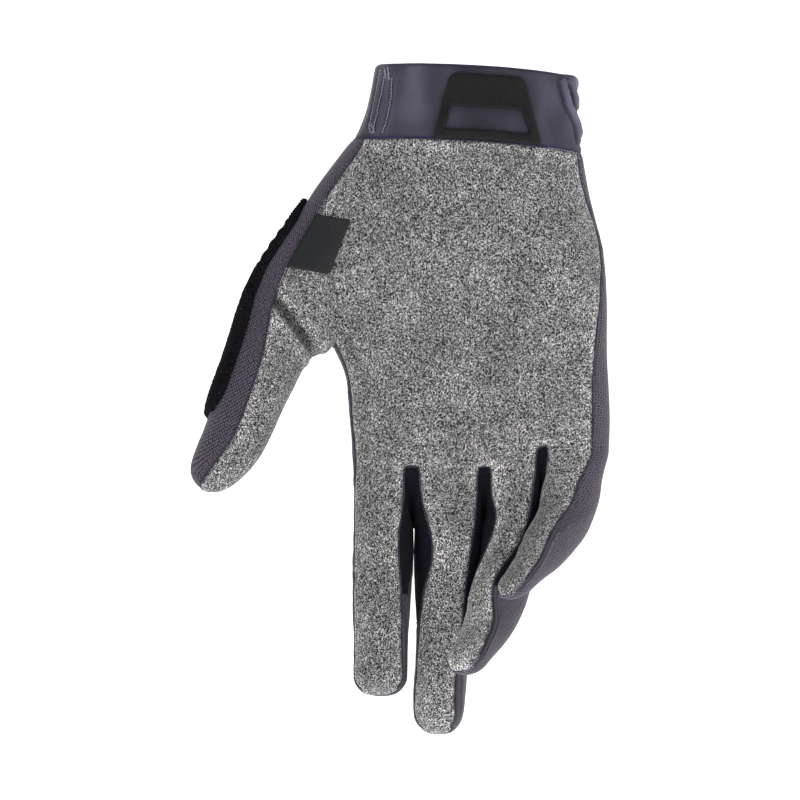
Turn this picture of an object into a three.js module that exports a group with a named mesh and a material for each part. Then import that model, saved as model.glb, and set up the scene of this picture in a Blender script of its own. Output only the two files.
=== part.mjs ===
// Full-finger cycling glove for the right hand, palm to the front (-Y), fingers down (-Z).
// Millimetres. The origin is the middle of the cuff mouth; +X is the little-finger side.
import * as THREE from 'three';

// Cuff
const CUFF_HEIGHT = 25.5;
const CUFF_MOUTH_WIDTH = 69;
const CUFF_MOUTH_DEPTH = 38;
const CUFF_WALL = 2;
const CUFF_RISE = 1.7;
const CUFF_DROP = 4.3;
const WRIST_SEAM_DIP = 1.2;
const CUFF_SHIFT = -1.5;

// Hand
const PALM_HEIGHT = 111.5;
const PALM_WIDTH = 88.5;
const PALM_DEPTH = 36;
const CROTCH_WEB = 12.5;
const FINGER_LENGTH = 88.2;
const PINKY_CROTCH_RISE = 7.5;
const PALM_CUP = 8;

// Thumb
const THUMB_REACH = 45;
const THUMB_DROP = 104;
const THUMB_WIDTH = 24.5;
const THUMB_DEPTH = 23;
const THUMB_FORWARD = 26;
const THUMB_ROOT_FROM_MIDDLE = 50.5;
const THUMB_TIP_BULGE = 3;

// Cloth walls and seams
const SUEDE_WALL = 1.2;
const MESH_WALL = 1.3;
const GUSSET_WALL = 1.0;
const SEAM_GAP = 0.3;
const GUSSET_SEAM_GAP = 1;
const LAYER_GAP = 0.4;

// Trim
const PATCH_HEIGHT = 21.6;
const PATCH_TOP_BELOW_MOUTH = 1.6;
const PATCH_TOP_WIDTH = 25.5;
const PATCH_BOTTOM_WIDTH = 37;
const PATCH_THICKNESS = 0.9;
const PATCH_SHIFT = 2.3;
const PATCH_CORNER = 3;
const WINDOW_TOP_WIDTH = 24.2;
const WINDOW_BOTTOM_WIDTH = 29.2;
const WINDOW_HEIGHT = 7.8;
const WINDOW_ABOVE_PATCH_FOOT = 3.2;
const WINDOW_LEAST_BORDER = 1.2;
const TAB_TOP_WIDTH = 11.8;
const TAB_FOOT_WIDTH = 14.3;
const TAB_LENGTH = 20.9;
const TAB_TOP_BELOW_CUFF_MOUTH = 50.4;
const TAB_SLANT = 10;
const TAB_THICKNESS = 0.9;
const TAB_CORNER = 1.4;
const WIPE_THICKNESS = 1.8;

// Counts of cage columns and rows: fronts of a finger and of the thumb, sides of any limb,
// front of the palm, and the first palm row of the thumb's opening
const FINGER_COLUMNS = 4;
const THUMB_COLUMNS = 6;
const SIDE_COLUMNS = 4;
const PALM_COLUMNS = 4 * FINGER_COLUMNS + 3;
const LEFT_BACK = 2 * PALM_COLUMNS + SIDE_COLUMNS;
const THUMB_FIRST_ROW = 2;
const RELAX_STEPS = 30;

// Shares and powers of the form: flare of the wrist over the cuff's mouth and how far down the
// palm it reaches, pinch of the webs, squareness of the sections, how far down a finger its own
// section takes over from the palm's, rows in which the thumb's does, and the fingertips' bulge
const WRIST_FLARE = 1.2826;
const WRIST_REACH = 0.3;
const WEB_PINCH = 0.85;
const SECTION_POWER = 2.5;
const FINGER_POWER = 2.15;
const FINGER_BLEND = 0.22;
const FIRST_BEND_REACH = 0.12;
const JOINT_SPREAD = 0.09;
const THUMB_BLEND_ROWS = 3.5;
const THUMB_LEAST_BLEND = 0.3;
const FINGER_TIP_BULGE = 0.018;
const ROUND_END = 1.003;
const THUMB_SIDE_STRIP = 84;

// Cuff sections from the mouth down. down is a share of the cuff height; wide and deep are
// shares of the mouth's width and depth; shift is a share of the mouth's width.
const CUFF_ROWS = [
  { down: 0.00, wide: 0.995, deep: 1.00, shift: 0.004 },
  { down: 0.08, wide: 1.018, deep: 1.02, shift: 0.002 },
  { down: 0.32, wide: 1.034, deep: 1.01, shift: -0.005 },
  { down: 0.60, wide: 1.064, deep: 1.01, shift: -0.012 },
  { down: 0.86, wide: 1.108, deep: 1.02, shift: -0.028 },
];

// Palm sections from the wrist seam to the finger crotches. down is a share of the palm
// height; left and right are shares of the hand's width; deep is a share of the palm depth;
// seam is the suede edge's place across the section on the thumb side, and edge the same on
// the little-finger side.
const PALM_ROWS = [
  { down: 0.000, left: -0.492, right: 0.398, deep: 1.05, seam: 0.050, edge: 0.985 },
  { down: 0.075, left: -0.570, right: 0.412, deep: 1.06, seam: 0.070, edge: 0.980 },
  { down: 0.150, left: -0.640, right: 0.428, deep: 1.08, seam: 0.058, edge: 0.985 },
  { down: 0.230, left: -0.632, right: 0.452, deep: 1.08, seam: 0.045, edge: 0.994 },
  { down: 0.310, left: -0.618, right: 0.475, deep: 1.06, seam: 0.040, edge: 0.997 },
  { down: 0.390, left: -0.610, right: 0.487, deep: 1.03, seam: 0.036, edge: 0.997 },
  { down: 0.470, left: -0.602, right: 0.493, deep: 0.99, seam: 0.032, edge: 0.997 },
  { down: 0.550, left: -0.596, right: 0.495, deep: 0.94, seam: 0.028, edge: 0.997 },
  { down: 0.630, left: -0.580, right: 0.495, deep: 0.88, seam: 0.018, edge: 0.995 },
  { down: 0.720, left: -0.522, right: 0.497, deep: 0.83, seam: 0.006, edge: 0.985 },
  { down: 0.815, left: -0.514, right: 0.501, deep: 0.78, seam: 0.004, edge: 0.965 },
  { down: 0.910, left: -0.501, right: 0.507, deep: 0.73, seam: 0.004, edge: 0.945 },
  { down: 1.000, left: -0.495, right: 0.503, deep: 0.69, seam: 0.004, edge: 0.930 },
];

// Mounds and hollows of the palm. across and down are shares of the section and the palm
// height, reach of each, and lift is a share of the palm depth towards the front.
const PALM_MOUNDS = [
  { across: 0.16, down: 0.42, reachAcross: 0.20, reachDown: 0.26, lift: 0.15 },
  { across: 0.84, down: 0.30, reachAcross: 0.16, reachDown: 0.30, lift: 0.09 },
  { across: 0.56, down: 0.52, reachAcross: 0.20, reachDown: 0.22, lift: -0.10 },
  { across: 0.40, down: 0.90, reachAcross: 0.34, reachDown: 0.09, lift: 0.05 },
];

// Fingers. length is a share of the finger length, width of the palm width and depth of the
// palm depth; from and to are the suede's edges at the crotch, as shares across the palm; tip
// is the share of the length where the end starts to round, joints the shares where the bones
// meet, and shift a share of the width. bend is the turn towards the palm of the three finger
// bones, splay the sideways lean, and roll the turn of the bending plane to the thumb side, all
// in degrees. In the rows, near and far are the suede's edges round the section, in degrees
// from its front to the thumb side and to the little-finger side, and gusset is the angle that
// the side strip takes.
const FINGERS = [
  {
    name: 'index', length: 0.895, width: 0.237, depth: 0.528, from: 0.004, to: 0.203,
    tip: 0.93, shift: 0.048, joints: [0.42, 0.74], bend: [13, 19, 24], splay: 2.2, roll: 10,
    rows: [
      { at: 0.00, wide: 1.02, deep: 1.12, near: 74, far: 52, gusset: 80 },
      { at: 0.14, wide: 0.99, deep: 1.08, near: 80, far: 52, gusset: 76 },
      { at: 0.32, wide: 0.99, deep: 1.00, near: 66, far: 40, gusset: 66 },
      { at: 0.44, wide: 1.02, deep: 0.98, near: 68, far: 42, gusset: 40 },
      { at: 0.56, wide: 0.99, deep: 0.96, near: 72, far: 50, gusset: 14 },
      { at: 0.76, wide: 0.91, deep: 0.92, near: 76, far: 60, gusset: 20 },
      { at: 0.92, wide: 0.89, deep: 0.88, near: 80, far: 72, gusset: 20 },
      { at: 1.00, wide: 0.89, deep: 0.88, near: 88, far: 84, gusset: 16 },
    ],
  },
  {
    name: 'middle', length: 1.0, width: 0.243, depth: 0.542, from: 0.254, to: 0.492,
    tip: 0.90, shift: 0.03, joints: [0.42, 0.74], bend: [3, 12, 18], splay: -1.6, roll: 8,
    rows: [
      { at: 0.00, wide: 1.08, deep: 1.12, near: 48, far: 52, gusset: 84 },
      { at: 0.12, wide: 1.10, deep: 1.06, near: 34, far: 58, gusset: 80 },
      { at: 0.30, wide: 1.09, deep: 1.00, near: 19, far: 46, gusset: 70 },
      { at: 0.44, wide: 1.01, deep: 0.98, near: 42, far: 44, gusset: 36 },
      { at: 0.58, wide: 0.89, deep: 0.96, near: 60, far: 50, gusset: 14 },
      { at: 0.78, wide: 0.86, deep: 0.92, near: 68, far: 42, gusset: 20 },
      { at: 0.90, wide: 0.84, deep: 0.86, near: 76, far: 48, gusset: 20 },
      { at: 1.00, wide: 0.84, deep: 0.86, near: 86, far: 66, gusset: 18 },
    ],
  },
  {
    name: 'ring', length: 0.935, width: 0.226, depth: 0.514, from: 0.533, to: 0.719,
    tip: 0.91, shift: 0.02, joints: [0.36, 0.70], bend: [15, 37, 58], splay: 4, roll: 32,
    rows: [
      { at: 0.00, wide: 1.05, deep: 1.12, near: 46, far: 52, gusset: 84 },
      { at: 0.12, wide: 1.08, deep: 1.06, near: 16, far: 62, gusset: 84 },
      { at: 0.22, wide: 1.09, deep: 1.03, near: 4, far: 58, gusset: 80 },
      { at: 0.36, wide: 1.035, deep: 0.99, near: 34, far: 36, gusset: 50 },
      { at: 0.56, wide: 1.02, deep: 1.04, near: 60, far: 16, gusset: 14 },
      { at: 0.74, wide: 0.89, deep: 0.70, near: 66, far: 38, gusset: 20 },
      { at: 0.90, wide: 0.80, deep: 0.56, near: 72, far: 56, gusset: 20 },
      { at: 1.00, wide: 0.80, deep: 0.56, near: 84, far: 72, gusset: 18 },
    ],
  },
  {
    name: 'pinky', length: 0.777, width: 0.22, depth: 0.486, from: 0.752, to: 0.930,
    tip: 0.87, shift: 0.095, joints: [0.36, 0.68], bend: [28, 55, 62], splay: 7, roll: 40,
    rows: [
      { at: 0.00, wide: 1.12, deep: 1.15, near: 40, far: 50, gusset: 84 },
      { at: 0.18, wide: 1.12, deep: 1.06, near: 46, far: 50, gusset: 80 },
      { at: 0.38, wide: 1.02, deep: 0.98, near: 60, far: 42, gusset: 52 },
      { at: 0.58, wide: 0.93, deep: 0.90, near: 62, far: 40, gusset: 14 },
      { at: 0.74, wide: 0.80, deep: 0.62, near: 66, far: 50, gusset: 20 },
      { at: 0.88, wide: 0.72, deep: 0.50, near: 70, far: 60, gusset: 20 },
      { at: 1.00, wide: 0.72, deep: 0.50, near: 84, far: 72, gusset: 18 },
    ],
  },
];
const FINGER_ROWS = [0.05, 0.12, 0.20, 0.29, 0.38, 0.47, 0.56, 0.65, 0.74, 0.82, 0.89, 0.945, 0.982];
const GUSSET_ROWS = 7;

// Thumb sections. out is a share of the thumb's reach, down of its drop, wide and deep of its
// width and depth, forward of its forward lean, and crease of its depth; tilt is the section's
// slant in the front view, and near and far are the suede's edges round it, in degrees from its
// front to the outer side and to the fingers.
const THUMB_ROWS = [
  { out: 0.145, down: 0.305, wide: 1.94, deep: 1.42, forward: 0.10, tilt: 78, near: 52, far: 56, crease: 0 },
  { out: 0.240, down: 0.355, wide: 1.68, deep: 1.30, forward: 0.20, tilt: 67, near: 46, far: 66, crease: 0 },
  { out: 0.340, down: 0.402, wide: 1.46, deep: 1.18, forward: 0.30, tilt: 56, near: 36, far: 74, crease: .03 },
  { out: 0.420, down: 0.455, wide: 1.25, deep: 1.09, forward: 0.39, tilt: 46, near: 25, far: 80, crease: .07 },
  { out: 0.485, down: 0.525, wide: 1.12, deep: 1.03, forward: 0.49, tilt: 40, near: 16, far: 85, crease: .03 },
  { out: 0.545, down: 0.592, wide: 1.04, deep: 1.01, forward: 0.58, tilt: 34, near: 10, far: 89, crease: 0 },
  { out: 0.610, down: 0.657, wide: 0.99, deep: 0.99, forward: 0.67, tilt: 29, near: 4, far: 92, crease: 0 },
  { out: 0.675, down: 0.730, wide: 0.97, deep: 0.96, forward: 0.77, tilt: 26, near: 2, far: 92, crease: 0 },
  { out: 0.737, down: 0.804, wide: 0.91, deep: 0.91, forward: 0.86, tilt: 26, near: 2, far: 90, crease: 0 },
  { out: 0.823, down: 0.874, wide: 0.83, deep: 0.82, forward: 0.94, tilt: 28, near: 4, far: 88, crease: 0 },
  { out: 0.912, down: 0.930, wide: 0.68, deep: 0.66, forward: 0.99, tilt: 30, near: 8, far: 86, crease: 0 },
  { out: 0.970, down: 0.964, wide: 0.48, deep: 0.44, forward: 1.02, tilt: 31, near: 12, far: 84, crease: 0 },
];

// Terry pad along the outer side of the thumb: at is a place along the thumb's rows, from and
// to are the pad's edges, counted in the thumb's columns.
const WIPE_ROWS = [
  { at: 1.15, from: 17.8, to: 16.6 },
  { at: 1.5, from: 18.3, to: 15.6 },
  { at: 2.0, from: 18.6, to: 14.4 },
  { at: 3.0, from: 18.4, to: 13.4 },
  { at: 4.0, from: 18.3, to: 12.9 },
  { at: 5.0, from: 18.2, to: 12.6 },
  { at: 6.0, from: 18.1, to: 12.5 },
  { at: 7.0, from: 18.0, to: 12.6 },
  { at: 8.2, from: 17.8, to: 12.8 },
  { at: 8.75, from: 17.2, to: 13.6 },
];

const RAD = Math.PI / 180;

const mix = (a, b, t) => a + (b - a) * t;
const clamp = (t) => Math.min(1, Math.max(0, t));
const ease = (t) => clamp(t) ** 2 * (3 - 2 * clamp(t));

// Reads one column of a table between its rows, as a smooth curve.
function read(rows, key, column, at) {
  const last = rows.length - 1;
  if (at <= rows[0][key]) return rows[0][column];
  if (at >= rows[last][key]) return rows[last][column];
  let i = 0;
  while (rows[i + 1][key] < at) i += 1;
  const slope = (a, b) => (rows[b][column] - rows[a][column]) / (rows[b][key] - rows[a][key]);
  const here = slope(i, i + 1);
  const startSlope = i > 0 ? (slope(i - 1, i) + here) / 2 : here;
  const endSlope = i + 1 < last ? (slope(i + 1, i + 2) + here) / 2 : here;
  const run = rows[i + 1][key] - rows[i][key];
  const t = (at - rows[i][key]) / run;
  const rise = rows[i + 1][column] - rows[i][column];
  const bow = (startSlope * run - rise) * (1 - t) + (rise - endSlope * run) * t;
  return rows[i][column] + rise * t + t * (1 - t) * bow;
}

// Height of a point of the wrist seam or cuff edge below its thumb-side end.
const cuffDrop = (across) => CUFF_DROP * clamp(across) ** 2.4;

// Share across the palm of each front column, even at the wrist and by finger at the crotches.
function columnShare(column, row) {
  const even = mix(row.seam, row.edge, column / PALM_COLUMNS);
  const finger = Math.min(3, Math.floor(column / (FINGER_COLUMNS + 1)));
  const step = (column - finger * (FINGER_COLUMNS + 1)) / FINGER_COLUMNS;
  const knuckle = mix(FINGERS[finger].from, FINGERS[finger].to, step);
  return mix(even, knuckle, ease((row.down - 0.25) / 0.75));
}

// Angle on a section, measured from the front, of a point at a share across it.
function angleAcross(share) {
  const x = clamp(Math.abs(2 * share - 1));
  return Math.sign(share - 0.5) * Math.asin(x ** (SECTION_POWER / 2));
}

// Angles of the whole ring of columns for a row.
function ringAngles(row) {
  const front = [];
  for (let i = 0; i <= PALM_COLUMNS; i += 1) front.push(angleAcross(columnShare(i, row)));
  const angles = [...front];
  for (let i = 1; i < SIDE_COLUMNS; i += 1) {
    angles.push(mix(front[PALM_COLUMNS], Math.PI - front[PALM_COLUMNS], i / SIDE_COLUMNS));
  }
  for (let i = PALM_COLUMNS; i >= 0; i -= 1) angles.push(Math.PI - front[i]);
  for (let i = 1; i < SIDE_COLUMNS; i += 1) {
    angles.push(mix(Math.PI - front[0], 2 * Math.PI + front[0], i / SIDE_COLUMNS));
  }
  return angles;
}

// Point of a rounded section: the angle runs from the front (0) towards +wide (90 degrees).
function sectionOffset(angle, halfWide, halfDeep, power) {
  const curve = (v) => Math.sign(v) * Math.abs(v) ** (2 / power);
  return { wide: halfWide * curve(Math.sin(angle)), front: halfDeep * curve(Math.cos(angle)) };
}

// The cage: all outer surfaces of the glove as one closed net of four-sided faces.
const points = [];
const faces = [];
function addPoint(p) {
  points.push(p);
  return points.length - 1;
}
function addFace(a, b, c, d, panel) {
  faces.push({ corners: [a, b, c, d], panel });
}

// Width of the hand at a share of the palm height; the wrist follows the cuff.
const handWidth = (down) => mix(
  CUFF_MOUTH_WIDTH * WRIST_FLARE, PALM_WIDTH, ease(down / WRIST_REACH),
);

function palmRing(row) {
  const halfWide = (row.right - row.left) * handWidth(row.down) / 2;
  const middle = (row.right + row.left) * handWidth(row.down) / 2;
  const halfDeep = row.deep * PALM_DEPTH / 2;
  return ringAngles(row).map((angle) => {
    const offset = sectionOffset(angle, halfWide, halfDeep, SECTION_POWER);
    const across = (offset.wide / halfWide + 1) / 2;
    let y = -offset.front;
    for (const mound of PALM_MOUNDS) {
      const far = ((across - mound.across) / mound.reachAcross) ** 2
        + ((row.down - mound.down) / mound.reachDown) ** 2;
      const lift = mound.lift * PALM_DEPTH * Math.exp(-far);
      if (offset.front > 0) y -= lift * offset.front / halfDeep;
    }
    y -= PALM_CUP * ease((across - 0.55) / 0.5) * ease((row.down - 0.3) / 0.7);
    const top = CUFF_RISE - CUFF_HEIGHT - cuffDrop(across) - WRIST_SEAM_DIP * across ** 4;
    const rise = PINKY_CROTCH_RISE * ease((across - 0.6) / 0.16);
    const foot = -CUFF_HEIGHT - PALM_HEIGHT + rise;
    return addPoint(new THREE.Vector3(middle + offset.wide, y, mix(top, foot, row.down)));
  });
}

function cuffRing(row) {
  const wrist = PALM_ROWS[0];
  const halfWide = row.wide * CUFF_MOUTH_WIDTH / 2;
  const halfDeep = row.deep * CUFF_MOUTH_DEPTH / 2;
  const middle = row.shift * CUFF_MOUTH_WIDTH + CUFF_SHIFT;
  return ringAngles(wrist).map((angle) => {
    const offset = sectionOffset(angle, halfWide, halfDeep, SECTION_POWER);
    const across = (offset.wide / halfWide + 1) / 2;
    const z = CUFF_RISE - cuffDrop(across) - row.down * CUFF_HEIGHT;
    return addPoint(new THREE.Vector3(middle + offset.wide, -offset.front, z));
  });
}

// Joins two rings of the same count; panelOf names the panel of each column.
function joinRings(before, after, panelOf) {
  const count = before.length;
  for (let i = 0; i < count; i += 1) {
    const next = (i + 1) % count;
    const panel = panelOf(i);
    if (panel) addFace(before[i], after[i], after[next], before[next], panel);
  }
}

// Closes the end of a limb with a domed net of front x side faces; first is the ring's point
// at the net's corner.
function closeTip(end, first, front, side, along, bulge, panelOf) {
  const ring = [...end.slice(first), ...end.slice(0, first)];
  const grid = [];
  for (let r = 0; r <= side; r += 1) {
    const line = [];
    for (let c = 0; c <= front; c += 1) {
      if (r === 0) line.push(ring[c]);
      else if (r === side) line.push(ring[2 * front + side - c]);
      else if (c === front) line.push(ring[front + r]);
      else if (c === 0) line.push(ring[2 * (front + side) - r]);
      else line.push(-1);
    }
    grid.push(line);
  }
  for (let r = 1; r < side; r += 1) {
    for (let c = 1; c < front; c += 1) {
      const s = c / front;
      const t = r / side;
      const acrossLine = points[grid[r][0]].clone().lerp(points[grid[r][front]], s);
      const depthLine = points[grid[0][c]].clone().lerp(points[grid[side][c]], t);
      const p = acrossLine.lerp(depthLine, 0.5);
      const dome = 4 * Math.min(s * (1 - s), 0.25) * 4 * Math.min(t * (1 - t), 0.25);
      p.addScaledVector(along, bulge * Math.sqrt(dome));
      grid[r][c] = addPoint(p);
    }
  }
  for (let r = 0; r < side; r += 1) {
    for (let c = 0; c < front; c += 1) {
      addFace(grid[r][c], grid[r + 1][c], grid[r + 1][c + 1], grid[r][c + 1], panelOf(r));
    }
  }
}

// Cuff and palm
const thumbLastRow = THUMB_FIRST_ROW + THUMB_COLUMNS;
const cuffRings = CUFF_ROWS.map(cuffRing);
const palmRings = PALM_ROWS.map(palmRing);
const wallRings = [...cuffRings, palmRings[0]];
for (let r = 0; r + 1 < wallRings.length; r += 1) {
  joinRings(wallRings[r], wallRings[r + 1], () => 'cuff');
}
for (let r = 0; r + 1 < palmRings.length; r += 1) {
  joinRings(palmRings[r], palmRings[r + 1], (column) => {
    if (column < PALM_COLUMNS) return 'palm_panel';
    if (column < LEFT_BACK) return 'back_panel';
    if (r < THUMB_FIRST_ROW) return 'thumb_side_panel';
    return r < thumbLastRow ? null : 'back_panel';
  });
}

// Crotch webs between neighbouring fingers: three points down each side of each web.
const crotchRing = palmRings[palmRings.length - 1];
const backOf = (frontColumn) => LEFT_BACK - frontColumn;
const sideLines = new Map();
for (let gap = 0; gap < 3; gap += 1) {
  const leftColumn = gap * (FINGER_COLUMNS + 1) + FINGER_COLUMNS;
  for (const column of [leftColumn, leftColumn + 1]) {
    const front = points[crotchRing[column]];
    const back = points[crotchRing[backOf(column)]];
    const line = [crotchRing[column]];
    for (let i = 1; i < SIDE_COLUMNS; i += 1) {
      const p = front.clone().lerp(back, i / SIDE_COLUMNS);
      const middle = (points[crotchRing[leftColumn]].x + points[crotchRing[leftColumn + 1]].x) / 2;
      p.x = mix(p.x, middle, WEB_PINCH * Math.sin(Math.PI * i / SIDE_COLUMNS));
      p.z -= CROTCH_WEB * Math.sin(Math.PI * i / SIDE_COLUMNS);
      line.push(addPoint(p));
    }
    line.push(crotchRing[backOf(column)]);
    sideLines.set(column, line);
  }
  const a = sideLines.get(leftColumn);
  const b = sideLines.get(leftColumn + 1);
  const panel = `fourchette_${FINGERS[gap].name}_${FINGERS[gap + 1].name}`;
  for (let i = 0; i < SIDE_COLUMNS; i += 1) addFace(a[i], a[i + 1], b[i + 1], b[i], panel);
}

// The ring of points that a finger starts from.
function fingerRootRing(index) {
  const first = index * (FINGER_COLUMNS + 1);
  const last = first + FINGER_COLUMNS;
  const ring = [];
  for (let i = first; i <= last; i += 1) ring.push(crotchRing[i]);
  for (let i = 1; i < SIDE_COLUMNS; i += 1) {
    ring.push(index < 3 ? sideLines.get(last)[i] : crotchRing[PALM_COLUMNS + i]);
  }
  for (let i = last; i >= first; i -= 1) ring.push(crotchRing[backOf(i)]);
  for (let i = SIDE_COLUMNS - 1; i >= 1; i -= 1) {
    ring.push(index > 0 ? sideLines.get(first)[i] : crotchRing[LEFT_BACK + SIDE_COLUMNS - i]);
  }
  return ring;
}

// Turn of each column of a limb from the front: the suede reaches from -near to far, and a
// side strip of the given angle follows on each edge.
function limbAngle(column, front, near, far, gusset) {
  const side = front + SIDE_COLUMNS;
  const backStart = far + gusset;
  const backEnd = 360 - near - gusset;
  let angle;
  if (column <= front) angle = mix(-near, far, column / front);
  else if (column <= side) angle = mix(far, backStart, (column - front) / SIDE_COLUMNS);
  else if (column <= side + front) angle = mix(backStart, backEnd, (column - side) / front);
  else angle = mix(backEnd, 360 - near, (column - side - front) / SIDE_COLUMNS);
  return angle * RAD;
}

function middleOf(ring) {
  const sum = new THREE.Vector3();
  for (const i of ring) sum.add(points[i]);
  return sum.divideScalar(ring.length);
}

// A finger's bend towards the palm at a share of its length.
function bendAt(finger, at) {
  const [first, second, third] = finger.bend;
  const [nearJoint, farJoint] = finger.joints;
  const step = (joint) => ease((at - joint + JOINT_SPREAD) / (2 * JOINT_SPREAD));
  const atJoints = (second - first) * step(nearJoint) + (third - second) * step(farJoint);
  return first * ease(at / FIRST_BEND_REACH) + atJoints;
}

// Middle, directions and half sizes of a finger's section at a share of its length.
function fingerPath(finger, start) {
  const steps = 200;
  const lean = finger.splay * RAD;
  const roll = finger.roll * RAD;
  const down = new THREE.Vector3(Math.sin(lean), 0, -Math.cos(lean));
  const front = new THREE.Vector3(-Math.sin(roll), -Math.cos(roll), 0);
  front.addScaledVector(down, -front.dot(down)).normalize();
  const wide = front.clone().cross(down).normalize();
  const middles = [start.clone()];
  for (let i = 0; i < steps; i += 1) {
    const bend = bendAt(finger, (i + 0.5) / steps) * RAD;
    const along = down.clone().multiplyScalar(Math.cos(bend)).addScaledVector(front, Math.sin(bend));
    middles.push(middles[i].clone().addScaledVector(along, finger.length * FINGER_LENGTH / steps));
  }
  return (at) => {
    const bend = bendAt(finger, at) * RAD;
    const along = down.clone().multiplyScalar(Math.cos(bend)).addScaledVector(front, Math.sin(bend));
    const face = down.clone().multiplyScalar(-Math.sin(bend)).addScaledVector(front, Math.cos(bend));
    return { middle: middles[Math.round(at * steps)], along, face, wide };
  };
}

FINGERS.forEach((finger, index) => {
  const root = fingerRootRing(index);
  const start = middleOf(root);
  const path = fingerPath(finger, start);
  const width = finger.width * PALM_WIDTH;
  const depth = finger.depth * PALM_DEPTH;
  let before = root;
  const panelOf = (column, row) => {
    if (column < FINGER_COLUMNS) return 'palm_panel';
    const onFarSide = column < FINGER_COLUMNS + SIDE_COLUMNS;
    const onNearSide = column >= 2 * FINGER_COLUMNS + SIDE_COLUMNS;
    if (row >= GUSSET_ROWS) return 'back_panel';
    if (onFarSide && index < 3) return `fourchette_${finger.name}_${FINGERS[index + 1].name}`;
    if (onNearSide && index > 0) return `fourchette_${FINGERS[index - 1].name}_${finger.name}`;
    return 'back_panel';
  };
  let tip;
  FINGER_ROWS.forEach((at, row) => {
    const place = path(at);
    const past = Math.max(0, (at - finger.tip) / (ROUND_END - finger.tip));
    const rounding = Math.sqrt(1 - past ** 2);
    const halfWide = read(finger.rows, 'at', 'wide', at) * width / 2 * rounding;
    const halfDeep = read(finger.rows, 'at', 'deep', at) * depth / 2 * rounding;
    const near = read(finger.rows, 'at', 'near', at);
    const far = read(finger.rows, 'at', 'far', at);
    const gusset = read(finger.rows, 'at', 'gusset', at);
    const own = ease(at / FINGER_BLEND);
    const ring = root.map((rootPoint, column) => {
      const angle = limbAngle(column, FINGER_COLUMNS, near, far, gusset);
      const offset = sectionOffset(angle, halfWide, halfDeep, FINGER_POWER);
      const p = place.middle.clone()
        .addScaledVector(place.wide, offset.wide + finger.shift * width)
        .addScaledVector(place.face, offset.front);
      const carried = points[rootPoint].clone().sub(start).add(place.middle);
      return addPoint(carried.lerp(p, own));
    });
    joinRings(before, ring, (column) => panelOf(column, row));
    before = ring;
    tip = place;
  });
  const bulge = FINGER_TIP_BULGE * finger.length * FINGER_LENGTH;
  const tipPanel = (r) => (r < 3 ? 'palm_panel' : 'back_panel');
  closeTip(before, 0, FINGER_COLUMNS, SIDE_COLUMNS, tip.along, bulge, tipPanel);
});

// Thumb, from the opening left in the thumb side of the palm
const thumbRoot = [];
for (let r = THUMB_FIRST_ROW; r <= thumbLastRow; r += 1) thumbRoot.push(palmRings[r][0]);
for (let i = SIDE_COLUMNS - 1; i >= 0; i -= 1) thumbRoot.push(palmRings[thumbLastRow][LEFT_BACK + i]);
for (let r = thumbLastRow - 1; r >= THUMB_FIRST_ROW; r -= 1) thumbRoot.push(palmRings[r][LEFT_BACK]);
for (let i = 1; i < SIDE_COLUMNS; i += 1) thumbRoot.push(palmRings[THUMB_FIRST_ROW][LEFT_BACK + i]);

const thumbTop = -CUFF_HEIGHT - PALM_ROWS[THUMB_FIRST_ROW].down * PALM_HEIGHT;
const thumbMiddles = THUMB_ROWS.map((row) => new THREE.Vector3(
  -THUMB_ROOT_FROM_MIDDLE - row.out * THUMB_REACH,
  -row.forward * THUMB_FORWARD,
  thumbTop - row.down * THUMB_DROP,
));
const thumbPanel = (column) => (column < THUMB_COLUMNS + SIDE_COLUMNS ? 'palm_panel' : 'thumb_side_panel');
const thumbRings = [thumbRoot];
let thumbAlong;
THUMB_ROWS.forEach((row, i) => {
  const ahead = thumbMiddles[Math.min(i + 1, THUMB_ROWS.length - 1)];
  thumbAlong = ahead.clone().sub(thumbMiddles[Math.max(i - 1, 0)]).normalize();
  const wide = new THREE.Vector3(Math.cos(row.tilt * RAD), 0, -Math.sin(row.tilt * RAD));
  const face = thumbAlong.clone().cross(wide).normalize();
  const own = Math.max(ease((i + 1) / THUMB_BLEND_ROWS), THUMB_LEAST_BLEND);
  const halfWide = row.wide * THUMB_WIDTH / 2;
  const halfDeep = row.deep * THUMB_DEPTH / 2;
  const ring = thumbRoot.map((rootPoint, column) => {
    const angle = limbAngle(column, THUMB_COLUMNS, row.near, row.far, THUMB_SIDE_STRIP);
    const offset = sectionOffset(angle, halfWide, halfDeep, FINGER_POWER);
    const sink = Math.max(0, Math.cos(angle)) * row.crease * THUMB_DEPTH;
    const p = thumbMiddles[i].clone()
      .addScaledVector(wide, offset.wide)
      .addScaledVector(face, offset.front - sink);
    return addPoint(points[rootPoint].clone().lerp(p, own));
  });
  joinRings(thumbRings[thumbRings.length - 1], ring, thumbPanel);
  thumbRings.push(ring);
});
const thumbTipPanel = (r) => (r < 1 ? 'palm_panel' : 'thumb_side_panel');
closeTip(
  thumbRings[thumbRings.length - 1], 1, THUMB_COLUMNS + SIDE_COLUMNS - 2, 2, thumbAlong,
  THUMB_TIP_BULGE, thumbTipPanel,
);

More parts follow.
